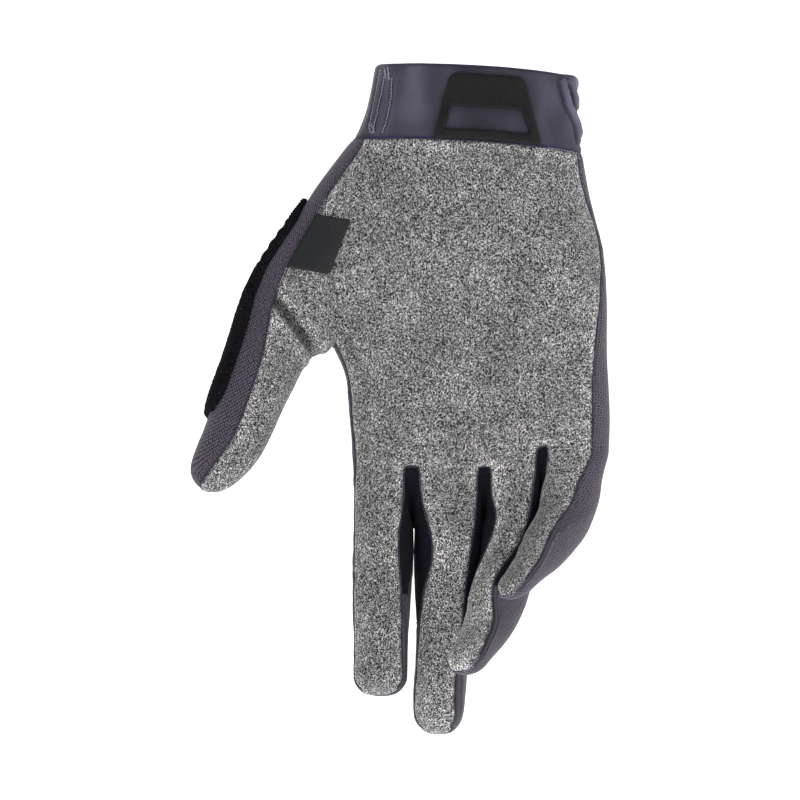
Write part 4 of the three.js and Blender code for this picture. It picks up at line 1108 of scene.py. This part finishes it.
# Painted shade: the index finger's inner side, low down and facing the middle finger, is darkened to
# near black.
side = INDEX_SIDE_SHADE_ZONE
inner = knit.times(knit.spread(at["X"], side["left"], side["left"] + 0.001),
                   knit.spread(at["X"], side["right"], side["right"] + 0.001, 1.0, 0.0))
inner = knit.times(inner, knit.spread(at["Z"], side["top"] - 0.001, side["top"], 1.0, 0.0))
inner = knit.times(inner, knit.spread(facing["X"], side["facing"], side["facing"] + 0.2))
colour = knit.sewn(knit.blend(inner, colour, INDEX_SIDE_PAINTED_SHADE))
back.data.materials.append(knit.end(colour, ridges, 0.22))
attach(back, "root")
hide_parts("back_panel")


# Thumb strip: the same stretch yarn in a finer moss knit, a long strip between the suede of
# the thumb and the back of the hand that also covers the back of the thumb.
MOSS_CELL = 0.85
MOSS_HIGH = (0.152, 0.126, 0.176)
MOSS_LOW = (0.022, 0.018, 0.028)
MOSS_RED = (0.135, 0.087, 0.110)

thumb_side = cut_panel("thumb_side_panel", "knit_thumb_strip", KNIT_WALL, knit_relief)
moss = Finish("moss_knit", Roughness=0.85)
moss.feed(moss.shader, {"Sheen Weight": 0.2, "Sheen Roughness": 0.5, "Specular IOR Level": 0.3})
loops = moss.add("ShaderNodeTexVoronoi", {"feature": "SMOOTH_F1", "voronoi_dimensions": "2D"},
                 Vector=moss.scaled(moss.cloth, 1.0, 0.85, 1.0, 45), Scale=1 / (MOSS_CELL * MM),
                 Randomness=0.3, Smoothness=0.25)["Distance"]
bumps = moss.spread(loops, 0.12, 0.52, 1.0, 0.0)
colour = moss.blend(bumps, MOSS_LOW, MOSS_HIGH)
red = moss.spread(moss.noise(moss.place, 2.4, 3.0), 0.5, 0.68, 0.0, 0.6)
colour = moss.sewn(moss.blend(moss.times(red, bumps), colour, MOSS_RED))
thumb_side.data.materials.append(moss.end(colour, bumps, 0.2))
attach(thumb_side, "root")
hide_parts("thumb_side_panel")


# Finger side strips: three strips of ribbed stretch cloth, one for each gap, sewn in
# between palm and back; each runs down one finger, over the web and up the next. Their
# near-black colour is partly the cloth's own dark navy and partly painted shade.
GUSSET_WALL = 1.0
GUSSET_RIB = 0.9
# The cloth's own dark navy, darkened further as painted shade for the narrow gaps between the fingers.
GUSSET_HIGH = (0.013, 0.012, 0.020)
GUSSET_LOW = (0.004, 0.0035, 0.006)
GUSSET_FUZZ = (0.022, 0.020, 0.032)
GUSSET_EDGE = {"depth": 0.40, "width": 0.7}
GUSSET_SWELLS = table(SWELL, [(0.12, 6, 23, None)])


def gusset_relief(places, normals, to_edge):
    return cloth_relief(places, to_edge, GUSSET_EDGE, GUSSET_SWELLS)


ribbed = Finish("ribbed_stretch", Roughness=0.9)
ribbed.feed(ribbed.shader, {"Specular IOR Level": 0.1})
ribs = ribbed.add("ShaderNodeTexWave", {"bands_direction": "X"},
                  Vector=ribbed.cloth, Scale=1 / (GUSSET_RIB * MM) / 2, Distortion=0.6,
                  Detail=2.0, Detail_Scale=1.0)["Fac"]
colour = ribbed.blend(ribs, GUSSET_LOW, GUSSET_HIGH)
fuzz = ribbed.spread(ribbed.noise(ribbed.place, 0.5), 0.45, 0.7, 0.0, 0.5)
colour = ribbed.blend(fuzz, colour, GUSSET_FUZZ)
ribbed_cloth = ribbed.end(colour, ribs, 0.15)
for web in WEBS:
    strip = cut_panel(web, web.replace("fourchette", "side_strip"), GUSSET_WALL, gusset_relief)
    strip.data.materials.append(ribbed_cloth)
    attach(strip, "root")
    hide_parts(web)


# Cuff: a wide band of smooth stretch cloth, folded double at the mouth and joined at the
# thumb side by a flat cover seam. The wrist seam joins it to the palm and the back.
CUFF_WALL = 2.0
PATCH_MIDDLE = 0.003
BAND_EDGE_TURN = {"depth": 0.5, "width": 0.8}
BAND_SWELLS = table(SWELL, [(0.25, 9, 33, None), (0.12, 3.5, 35, 3)])
COVER_SEAM_HOLLOW = {"depth": 0.35, "width": 0.6}
BAND_LIGHT = (0.088, 0.080, 0.116)
BAND_DARK = (0.044, 0.040, 0.064)
BAND_EDGE = (0.035, 0.034, 0.075)
CUFF_FOLDS = [
    {
        "line": [(28.6, -5), (30.4, -12.4), (32.1, -15.2), (33.8, -19.3), (34.8, -24.5)],
        "depth": -1.1, "width": 0.8,
    },
    {"line": [(31, -5), (32.8, -10), (33.5, -13)], "depth": -0.9, "width": 0.7},
    {"line": [(30.4, -4), (31.5, -9), (32.6, -12.5)], "depth": 0.7, "width": 0.8},
]
COVER_SEAM = {
    "left": [(-34.4, -0.6), (-36.2, -10.5), (-38.2, -20.8)],
    "middle": [(-32.4, -0.6), (-34.6, -11.5), (-36.9, -22.2)],
    "right": [(-30.3, -3.6), (-30.9, -12.4), (-32.5, -19.3), (-34.0, -23.0)],
}
MOUTH_LUMP = {"x": 31.6, "z": -4.6, "reach": 2.3, "height": 1.1}


def cuff_relief(places, normals, to_edge):
    height = cloth_relief(places, to_edge, BAND_EDGE_TURN, BAND_SWELLS)
    lump = ((places[:, 0] - MOUTH_LUMP["x"]) ** 2 + (places[:, 2] - MOUTH_LUMP["z"]) ** 2)
    height += MOUTH_LUMP["height"] * np.exp(-lump / MOUTH_LUMP["reach"] ** 2) * (normals[:, 1] < 0.3)
    for line in COVER_SEAM.values():
        height += crease(places, normals, {"line": line, **COVER_SEAM_HOLLOW})
    for fold in CUFF_FOLDS:
        height += crease(places, normals, fold)
    return height


cuff = cut_panel("cuff", "cuff_band", CUFF_WALL, cuff_relief)
band = Finish("stretch_band", Roughness=0.62)
band.feed(band.shader, {"Sheen Weight": 0.3, "Sheen Roughness": 0.35, "Specular IOR Level": 0.2})


def thread_lines(direction, spacing):
    return band.add("ShaderNodeTexWave", {"bands_direction": direction}, Vector=band.cloth,
                    Scale=1 / (spacing * MM) / 2, Distortion=0.3, Detail=1.0)["Fac"]


weave = band.plus(band.times(thread_lines("Y", 0.75), 0.6), band.times(thread_lines("X", 0.55), 0.4))
uneven = band.noise(band.scaled(band.place, 1, 1, 0.4), 9, 3.0)
mixed = band.plus(band.times(weave, 0.35), band.spread(uneven, 0.25, 0.75, 0.0, 0.65))
colour = band.blend(mixed, BAND_DARK, BAND_LIGHT)
across = band.add("ShaderNodeSeparateXYZ", Vector=band.place)["X"]
tones = [
    # painted shade across the middle of the cuff's front round the patch, painted light towards both
    # sides
    band.spread(band.from_zero(across, PATCH_MIDDLE), 0.008, 0.030, 0.62, 1.12),
    # painted shade in the folds' hollows and painted light on their ridges, from each point's height
    band.spread(band.point_value("height"), -0.5, 0.8, 0.45, 1.9),
    # painted shade on the cuff's left side, darker towards its left edge
    band.spread(across, -0.037, -0.022, 0.66, 1.0),
]
for tone in tones:
    colour = band.toned(colour, tone)
colour = band.blend(band.spread(band.point_value("to_seam"), 0.3, 1.3), BAND_EDGE, colour)
cuff.data.materials.append(band.end(colour, weave, 0.06))
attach(cuff, "root")
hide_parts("cuff")


# Cuff patch: a glossy black rubber patch moulded onto the cuff, with rounded upper corners
# and a window that shows the cloth.
PATCH_HEIGHT = 22.3
PATCH_TOP_WIDTH = 25.5
PATCH_BOTTOM_WIDTH = 37
PATCH_THICKNESS = 0.9
PATCH_SHIFT = 2.3
PATCH_CORNER = 3
PATCH_TOP_BELOW_MOUTH = 1.6
WINDOW_TOP_WIDTH = 24.2
WINDOW_BOTTOM_WIDTH = 29.2
WINDOW_HEIGHT = 7.8
WINDOW_ABOVE_PATCH_FOOT = 3.2
WINDOW_LEAST_BORDER = 1.2
PATCH_ROUNDING = 0.35
LAYER_GAP = 0.35
LAID_EDGE_SHARE = 0.35
IN_FRONT = -120


def seat_in_front(tree, x, z):
    """The carrying cloth's point and direction behind a place of the front view."""
    spot, normal, _, _ = tree.ray_cast(Vector((x, IN_FRONT, z)), Vector((0, 1, 0)))
    if spot is None:
        spot, normal, _, _ = tree.find_nearest(Vector((x, -PALM_DEPTH / 2, z)))
    return np.array(spot), np.array(normal)


def laid_piece(name, grid, keep, thickness, rounding, relief=None):
    """A piece laid on cloth: a grid of seats, each a point and a direction, some cells left
    out. Its edges are rounded over that width."""
    rows, columns = len(grid), len(grid[0])
    spots = np.array([seat[0] for line in grid for seat in line])
    normals = np.array([seat[1] for line in grid for seat in line])
    cells = np.array([
        (r * columns + c, (r + 1) * columns + c, (r + 1) * columns + c + 1, r * columns + c + 1)
        for r in range(rows - 1) for c in range(columns - 1) if keep(r, c)
    ])
    border = border_edges(cells)
    tree = KDTree(len(border) * 3)
    for k, (a, b) in enumerate(border):
        for j, t in enumerate((0.0, 1 / 3, 2 / 3)):
            tree.insert(mix(spots[a], spots[b], t), 3 * k + j)
    tree.balance()
    to_edge = np.array([tree.find(p)[2] for p in spots])
    rise = 1 - np.clip(to_edge / rounding, 0, 1)
    crown = np.sqrt(np.clip(1 - rise ** 2, 0, 1))
    top = thickness * (LAID_EDGE_SHARE + (1 - LAID_EDGE_SHARE) * crown)
    if relief is not None:
        top = top + relief(spots, to_edge)
    used = np.unique(cells)
    number = np.full(rows * columns, -1)
    number[used] = np.arange(len(used))
    outer = spots + normals * (LAYER_GAP + top)[:, None]
    inner = spots + normals * LAYER_GAP
    lists = number[cells].tolist() + (number[cells][:, ::-1] + len(used)).tolist()
    for a, b in number[border].tolist():
        lists.append([b, a, a + len(used), b + len(used)])
    piece = new_piece(name, np.concatenate([outer[used], inner[used]]), lists)
    piece.data.set_sharp_from_angle(angle=math.radians(SHARP_ANGLE))
    distance = piece.data.attributes.new("to_seam", "FLOAT", "POINT")
    distance.data.foreach_set("value", np.tile(to_edge[used], 2).astype(np.float32))
    return piece


def corner_draw(distance, radius):
    return 0 if distance >= radius else radius - math.sqrt(radius ** 2 - (radius - distance) ** 2)


def between(low, high, count):
    """Places between two ends, closer together near both."""
    return [mix(low, high, (1 - math.cos(math.pi * i / count)) / 2) for i in range(1, count + 1)]


window_top = PATCH_HEIGHT - WINDOW_ABOVE_PATCH_FOOT - WINDOW_HEIGHT
window_foot = PATCH_HEIGHT - WINDOW_ABOVE_PATCH_FOOT
patch_downs = [0.0] + [PATCH_CORNER * (i / 8) ** 1.7 for i in range(1, 9)]
patch_downs += between(PATCH_CORNER, window_top, 14)
first_window_row = len(patch_downs) - 1
patch_downs += between(window_top, window_foot, 12)
last_window_row = len(patch_downs) - 1
patch_downs += between(window_foot, PATCH_HEIGHT, 9)
SIDE_STEPS = 9
WINDOW_STEPS = 36
patch_grid = []
for down in patch_downs:
    half = mix(PATCH_TOP_WIDTH, PATCH_BOTTOM_WIDTH, down / PATCH_HEIGHT) / 2
    half -= corner_draw(down, PATCH_CORNER)
    window_share = clamp((down - window_top) / WINDOW_HEIGHT)
    hole = min(half - WINDOW_LEAST_BORDER, mix(WINDOW_TOP_WIDTH, WINDOW_BOTTOM_WIDTH, window_share) / 2)
    xs = [-half] + between(-half, -hole, SIDE_STEPS) + between(-hole, hole, WINDOW_STEPS)
    xs += between(hole, half, SIDE_STEPS)
    line = []
    for x in xs:
        across = clamp((x + PATCH_SHIFT + CUFF_MOUTH_WIDTH / 2) / CUFF_MOUTH_WIDTH)
        z = -PATCH_TOP_BELOW_MOUTH - down - cuff_drop(across)
        line.append(seat_in_front(cut_pieces["cuff"]["tree"], x + PATCH_SHIFT, z))
    patch_grid.append(line)


def patch_cell(r, c):
    in_window = first_window_row <= r < last_window_row
    return not (in_window and SIDE_STEPS <= c < SIDE_STEPS + WINDOW_STEPS)


patch = laid_piece("rubber_patch", patch_grid, patch_cell, PATCH_THICKNESS, PATCH_ROUNDING)
RUBBER_DARK = (0.006, 0.006, 0.007)
RUBBER_LIGHT = (0.012, 0.012, 0.013)
rubber = Finish("moulded_rubber", Roughness=0.4)
rubber.feed(rubber.shader, {"Specular IOR Level": 0.18, "Coat Weight": 0.03, "Coat Roughness": 0.3})
pores = rubber.noise(rubber.place, 0.4, 2.0)
smears = rubber.noise(rubber.scaled(rubber.place, 0.4, 1, 1), 5, 3.0)
colour = rubber.blend(rubber.spread(pores, 0.4, 0.65), RUBBER_DARK, RUBBER_LIGHT)
gloss = rubber.spread(smears, 0.3, 0.7, 0.28, 0.46)
patch.data.materials.append(rubber.end(colour, pores, 0.02, gloss))
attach(patch, "root")
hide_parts("cuff_patch")


# Side tab: a small charcoal satin label whose long edge is caught in the seam beside the
# thumb; it lies flat on the suede.
TAB_TOP_WIDTH = 11.8
TAB_FOOT_WIDTH = 14.3
TAB_LENGTH = 20.9
TAB_TOP_BELOW_CUFF_MOUTH = 50.4
TAB_SLANT = 10
TAB_THICKNESS = 0.9
TAB_CORNER = 1.4
TAB_FROM_SEAM = 0.3
TAB_SEAM_RUN = 18
TAB_ROUNDING = 0.5
TAB_DARK = (0.011, 0.012, 0.014)
TAB_LIGHT = (0.019, 0.020, 0.023)

seam_line = [points[palm_rings[r][0]] for r in range(THUMB_FIRST_ROW)]
seam_line += [points[ring[0]] for ring in thumb_rings]


def thumb_seam_x(z):
    i = 0
    while i + 2 < len(seam_line) and seam_line[i + 1][2] > z:
        i += 1
    share = (seam_line[i][2] - z) / (seam_line[i][2] - seam_line[i + 1][2])
    return mix(seam_line[i][0], seam_line[i + 1][0], share)


tab_top = -TAB_TOP_BELOW_CUFF_MOUTH
seam_lean = thumb_seam_x(tab_top - TAB_SEAM_RUN) - thumb_seam_x(tab_top)
run = np.array((seam_lean, -float(TAB_SEAM_RUN)))
run *= TAB_LENGTH / np.linalg.norm(run)
tab_slant = math.radians(TAB_SLANT)
tab_grid = []
for share in [0.0] + between(0, 1, 30):
    z = tab_top + run[1] * share
    end = TAB_LENGTH * min(share, 1 - share)
    width = mix(TAB_TOP_WIDTH, TAB_FOOT_WIDTH, share) - corner_draw(end, TAB_CORNER)
    line = []
    for out in [0.0] + between(0, 1, 20):
        reach = TAB_FROM_SEAM + out * width
        x = thumb_seam_x(z) + reach * math.cos(tab_slant)
        line.append(seat_in_front(
            cut_pieces["palm_panel"]["tree"], x, z - reach * math.sin(tab_slant)))
    tab_grid.append(line)
tab = laid_piece("satin_tab", tab_grid, lambda r, c: True, TAB_THICKNESS, TAB_ROUNDING)
satin = Finish("satin_label", Roughness=0.5)
satin.feed(satin.shader, {"Specular IOR Level": 0.25})
fibres = satin.noise(satin.scaled(satin.place, 1, 1, 3), 0.5, 2.0)
colour = satin.blend(satin.spread(fibres, 0.35, 0.7), TAB_DARK, TAB_LIGHT)
tab.data.materials.append(satin.end(colour, fibres, 0.03))
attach(tab, "root")
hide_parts("side_tab")


# Thumb wipe: a strip of black ribbed terry sewn over the outer side of the thumb, thicker
# than the knit under it.
WIPE_THICKNESS = 1.8
WIPE_RIB = 1.25
WIPE_RIB_LIFT = 0.24
WIPE_PILE = {"lift": 0.12, "size": 1.1, "seed": 41, "from_edge": 0.8}
WIPE_STITCH_ROW = {"from_edge": 1.5, "width": 0.35, "depth": 0.45}
WIPE_STEPS = 150
WIPE_ACROSS_STEPS = 26
WIPE_ROUNDING = 1.3
TERRY_DARK = (0.002, 0.002, 0.0025)
TERRY_LIGHT = (0.014, 0.013, 0.017)
TERRY_LINT = (0.3, 0.3, 0.34)
WIPE_ROWS = table("at from to", [
    (1.15, 17.8, 16.6),
    (1.5, 18.3, 15.6),
    (2.0, 18.6, 14.4),
    (3.0, 18.4, 13.4),
    (4.0, 18.3, 12.9),
    (5.0, 18.2, 12.6),
    (6.0, 18.1, 12.5),
    (7.0, 18.0, 12.6),
    (8.2, 17.8, 12.8),
    (8.75, 17.2, 13.6),
])


def thumb_surface(at, column):
    """The nearest cloth to a place between the thumb's rings and columns."""
    row = min(len(thumb_rings) - 2, int(at))
    first = int(column) % len(thumb_root)
    second = (first + 1) % len(thumb_root)
    s, t = column - int(column), at - row
    p = mix(mix(points[thumb_rings[row][first]], points[thumb_rings[row][second]], s),
            mix(points[thumb_rings[row + 1][first]], points[thumb_rings[row + 1][second]], s), t)
    spot, normal, _, _ = cut_pieces["thumb_side_panel"]["tree"].find_nearest(Vector(p))
    return np.array(spot), np.array(normal)


wipe_grid = []
for i in range(WIPE_STEPS + 1):
    at = mix(WIPE_ROWS[0]["at"], WIPE_ROWS[-1]["at"], i / WIPE_STEPS)
    start, stop = read(WIPE_ROWS, "at", "from", at), read(WIPE_ROWS, "at", "to", at)
    shares = [0.0] + between(0, 1, WIPE_ACROSS_STEPS)
    wipe_grid.append([thumb_surface(at, mix(stop, start, share)) for share in shares])


def lengths_along(line):
    """How far along its line each point lies."""
    return np.concatenate([[0], np.cumsum(np.linalg.norm(np.diff(line, axis=0), axis=1))])


def terry_relief(spots, to_edge):
    middle = spots.reshape(WIPE_STEPS + 1, -1, 3)[:, WIPE_ACROSS_STEPS // 2]
    along = np.repeat(lengths_along(middle), WIPE_ACROSS_STEPS + 1)
    ribs = WIPE_RIB_LIFT * np.sin(2 * math.pi * along / WIPE_RIB)
    pile = WIPE_PILE["lift"] * soft_noise(spots, WIPE_PILE["size"], WIPE_PILE["seed"])
    from_row = (to_edge - WIPE_STITCH_ROW["from_edge"]) / WIPE_STITCH_ROW["width"]
    sewn_down = WIPE_STITCH_ROW["depth"] * np.exp(-from_row ** 2)
    return (ribs + pile) * np.clip(to_edge / WIPE_PILE["from_edge"], 0, 1) - sewn_down


wipe = laid_piece("terry_wipe", wipe_grid, lambda r, c: True, WIPE_THICKNESS, WIPE_ROUNDING,
                  terry_relief)
terry = Finish("ribbed_terry", Roughness=1.0)
terry.feed(terry.shader, {"Specular IOR Level": 0.05})
pile = terry.noise(terry.place, 0.45, 3.0)
lint = terry.spread(terry.noise(terry.place, 0.7, 4.0), 0.68, 0.74)
colour = terry.blend(terry.spread(pile, 0.35, 0.65), TERRY_DARK, TERRY_LIGHT)
colour = terry.blend(terry.times(lint, 0.5), colour, TERRY_LINT)
wipe.data.materials.append(terry.end(colour, pile, 0.25))
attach(wipe, "root")
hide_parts("thumb_wipe")


# Seam thread: dark polyester thread that lies deep in every seam, where two panels are sewn
# edge to edge.
THREAD_RADIUS = 0.28
THREAD_SINK = 0.42
THREAD_DARK = (0.008, 0.007, 0.015)
THREAD_LIGHT = (0.05, 0.046, 0.09)
SEAMS = [("palm_panel", "thumb_side_panel"), ("palm_panel", "back_panel")]
SEAMS += [("palm_panel", web) for web in WEBS]
SEAMS += [("back_panel", web) for web in WEBS]
SEAMS += [("back_panel", "thumb_side_panel"), ("cuff", "palm_panel"), ("cuff", "back_panel")]
SEAMS += [("cuff", "thumb_side_panel")]


def seam_chains(first, second):
    """The lines of points where two panels meet."""
    kinds = {}
    for corners, kind in zip(form_faces.tolist(), form_panels.tolist()):
        if kind in (PANELS.index(first), PANELS.index(second)):
            for k in range(4):
                edge = tuple(sorted((corners[k], corners[(k + 1) % 4])))
                kinds.setdefault(edge, set()).add(kind)
    links = {}
    for (a, b), both in kinds.items():
        if len(both) == 2:
            links.setdefault(a, []).append(b)
            links.setdefault(b, []).append(a)
    chains = []
    while links:
        ends = [i for i, others in links.items() if len(others) == 1]
        here = min(ends) if ends else min(links)
        chain = [here]
        while links.get(here):
            ahead = links[here].pop()
            links[ahead].remove(here)
            if not links[here]:
                del links[here]
            chain.append(ahead)
            here = ahead
        links.pop(here, None)
        chains.append(chain)
    return chains


def tube(line, normals, radius, sides=6):
    """Rings of a thread along a line; gives its points and faces."""
    line, normals = np.asarray(line), np.asarray(normals)
    along = np.gradient(line, axis=0)
    along /= np.maximum(np.linalg.norm(along, axis=1, keepdims=True), 1e-9)
    side = np.cross(along, normals)
    side /= np.maximum(np.linalg.norm(side, axis=1, keepdims=True), 1e-9)
    up = np.cross(side, along)
    rings = []
    for k in range(sides):
        turn = 2 * math.pi * k / sides
        rings.append(line + radius * (side * math.cos(turn) + up * math.sin(turn)))
    spots = np.stack(rings, axis=1).reshape(-1, 3)
    lists = []
    for i in range(len(line) - 1):
        for k in range(sides):
            j = (k + 1) % sides
            lists.append([i * sides + k, i * sides + j, (i + 1) * sides + j, (i + 1) * sides + k])
    lists.append(list(range(sides))[::-1])
    lists.append([(len(line) - 1) * sides + k for k in range(sides)])
    return spots, lists


def thread_piece(name, rows):
    """Joins rows of threads into one piece."""
    spots = np.concatenate([row[0] for row in rows])
    lists, base = [], 0
    for row_spots, row_lists in rows:
        lists += [[i + base for i in corners] for corners in row_lists]
        base += len(row_spots)
    return new_piece(name, spots, lists)


thread_rows = []
for first, second in SEAMS:
    for chain in seam_chains(first, second):
        line = form_points[chain] - form_normals[chain] * THREAD_SINK
        thread_rows.append(tube(line, form_normals[chain], THREAD_RADIUS))
thread = thread_piece("seam_thread", thread_rows)
dark_thread = Finish("dark_thread", Roughness=0.7)
twist = dark_thread.noise(dark_thread.place, 0.4, 2.0)
colour = dark_thread.blend(dark_thread.spread(twist, 0.4, 0.65), THREAD_DARK, THREAD_LIGHT)
thread.data.materials.append(dark_thread.end(colour, twist, 0.05))
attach(thread, "root")


# Seam stitches: small navy stitches show all along the suede's edge, and paler ones beside
# the thumb tab, at the right end of the wrist seam and where the ring and little finger's
# tips are gathered.
STITCH_AT = np.array((0.0, 0.25, 0.75, 1.0))
STITCH_LIFT = np.array((-0.4, 1.0, 1.0, -0.4))
NAVY_STITCH = {"pitch": 1.25, "length": 0.75, "radius": 0.12, "lift": -0.12, "wander": 0.25}
PALE_STITCH = {**NAVY_STITCH, "radius": 0.17}
NAVY_COLOURS = ((0.02, 0.018, 0.04), (0.10, 0.09, 0.15))
PALE_COLOURS = ((0.20, 0.18, 0.27), (0.50, 0.48, 0.60))
PALE_STRETCHES = table("left right foot top", [
    (-75.0, -50.0, -77.0, -45.0),
    (23.0, 36.0, -32.0, -22.0),
    (-6.0, 9.0, -214.0, -200.0),
    (6.0, 20.0, -188.0, -175.0),
])


def stitch_row(line, directions, pitch, length, radius, lift, wander):
    """Short threads one after another along a line that lies on the cloth."""
    line, directions = np.asarray(line, float), np.asarray(directions, float)
    run = lengths_along(line)
    spots, lists = [], []
    for k in range(int((run[-1] - length) / pitch) + 1):
        ats = k * pitch + length * STITCH_AT
        way = np.stack([np.interp(ats, run, line[:, i]) for i in range(3)], axis=1)
        up = np.stack([np.interp(ats, run, directions[:, i]) for i in range(3)], axis=1)
        up /= np.maximum(np.linalg.norm(up, axis=1, keepdims=True), 1e-9)
        side = np.cross(way[-1] - way[0], up[0])
        side /= max(np.linalg.norm(side), 1e-9)
        sway = wander * noise.noise(Vector(way[0]) * 3.1)
        way = way + up * (lift * STITCH_LIFT)[:, None] + side * sway
        ring, faces_of = tube(way, up, radius, 5)
        lists += [[i + sum(len(block) for block in spots) for i in corners] for corners in faces_of]
        spots.append(ring)
    return (np.concatenate(spots), lists) if spots else (np.zeros((0, 3)), [])


def stitch_finish(name, low, high):
    finish = Finish(name, Roughness=0.6)
    twist = finish.noise(finish.place, 0.3, 2.0)
    return finish.end(finish.blend(finish.spread(twist, 0.35, 0.65), low, high), twist, 0.05)


navy_rows, pale_rows = [], []
for first, second in [seam for seam in SEAMS if "palm_panel" in seam]:
    for chain in seam_chains(first, second):
        line, ups = form_points[chain], form_normals[chain]
        lighter = np.zeros(len(chain), bool)
        for stretch in PALE_STRETCHES:
            inside = (line[:, 0] > stretch["left"]) & (line[:, 0] < stretch["right"])
            inside &= (line[:, 2] > stretch["foot"]) & (line[:, 2] < stretch["top"])
            lighter |= inside & (ups[:, 1] < 0.3)
        cuts = np.flatnonzero(np.diff(lighter.astype(int))) + 1
        for part in np.split(np.arange(len(chain)), cuts):
            if len(part) > 3:
                rows, kind = (pale_rows, PALE_STITCH) if lighter[part[0]] else (navy_rows, NAVY_STITCH)
                rows.append(stitch_row(line[part], ups[part], **kind))
for name, rows, finish_name, colours in (
        ("seam_stitches", navy_rows, "navy_stitches", NAVY_COLOURS),
        ("pale_stitches", pale_rows, "pale_stitches", PALE_COLOURS)):
    stitches = thread_piece(name, rows)
    stitches.data.materials.append(stitch_finish(finish_name, *colours))
    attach(stitches, "root")


# Cover seam of the cuff: three rows of stitches hold the band's overlapped ends together,
# with brighter bar tacks, short dense rows, at both ends.
COVER_STITCH = {"pitch": 1.15, "length": 0.8, "radius": 0.20, "lift": 0.15, "wander": 0.3}
TACK_STITCH = {"pitch": 0.75, "length": 0.6, "radius": 0.22, "lift": 0.22, "wander": 0.6}
COVER_COLOURS = ((0.20, 0.185, 0.27), (0.50, 0.48, 0.58))
BAR_TACKS = [
    [(-32.9, 0.2), (-32.1, -4.2)], [(-31.9, 0.2), (-31.2, -4.2)],
    [(-38.2, -19.4), (-37.2, -23.0)], [(-37.2, -19.4), (-36.3, -23.0)],
]
COVER_STEPS = 12
TACK_STEPS = 4


def on_cuff(way, steps):
    """Points and directions on the cuff behind a line of the front view."""
    places = [(mix(a[0], b[0], k / steps), mix(a[1], b[1], k / steps))
              for a, b in zip(way[:-1], way[1:]) for k in range(steps)]
    spots = [seat_in_front(cut_pieces["cuff"]["tree"], x, z) for x, z in places + [way[-1]]]
    return np.array([spot for spot, _ in spots]), np.array([up for _, up in spots])


cover_rows = [stitch_row(*on_cuff(way, COVER_STEPS), **COVER_STITCH) for way in COVER_SEAM.values()]
cover_rows += [stitch_row(*on_cuff(way, TACK_STEPS), **TACK_STITCH) for way in BAR_TACKS]
cover_stitches = thread_piece("cover_seam_stitches", cover_rows)
cover_stitches.data.materials.append(stitch_finish("lavender_stitches", *COVER_COLOURS))
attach(cover_stitches, "root")
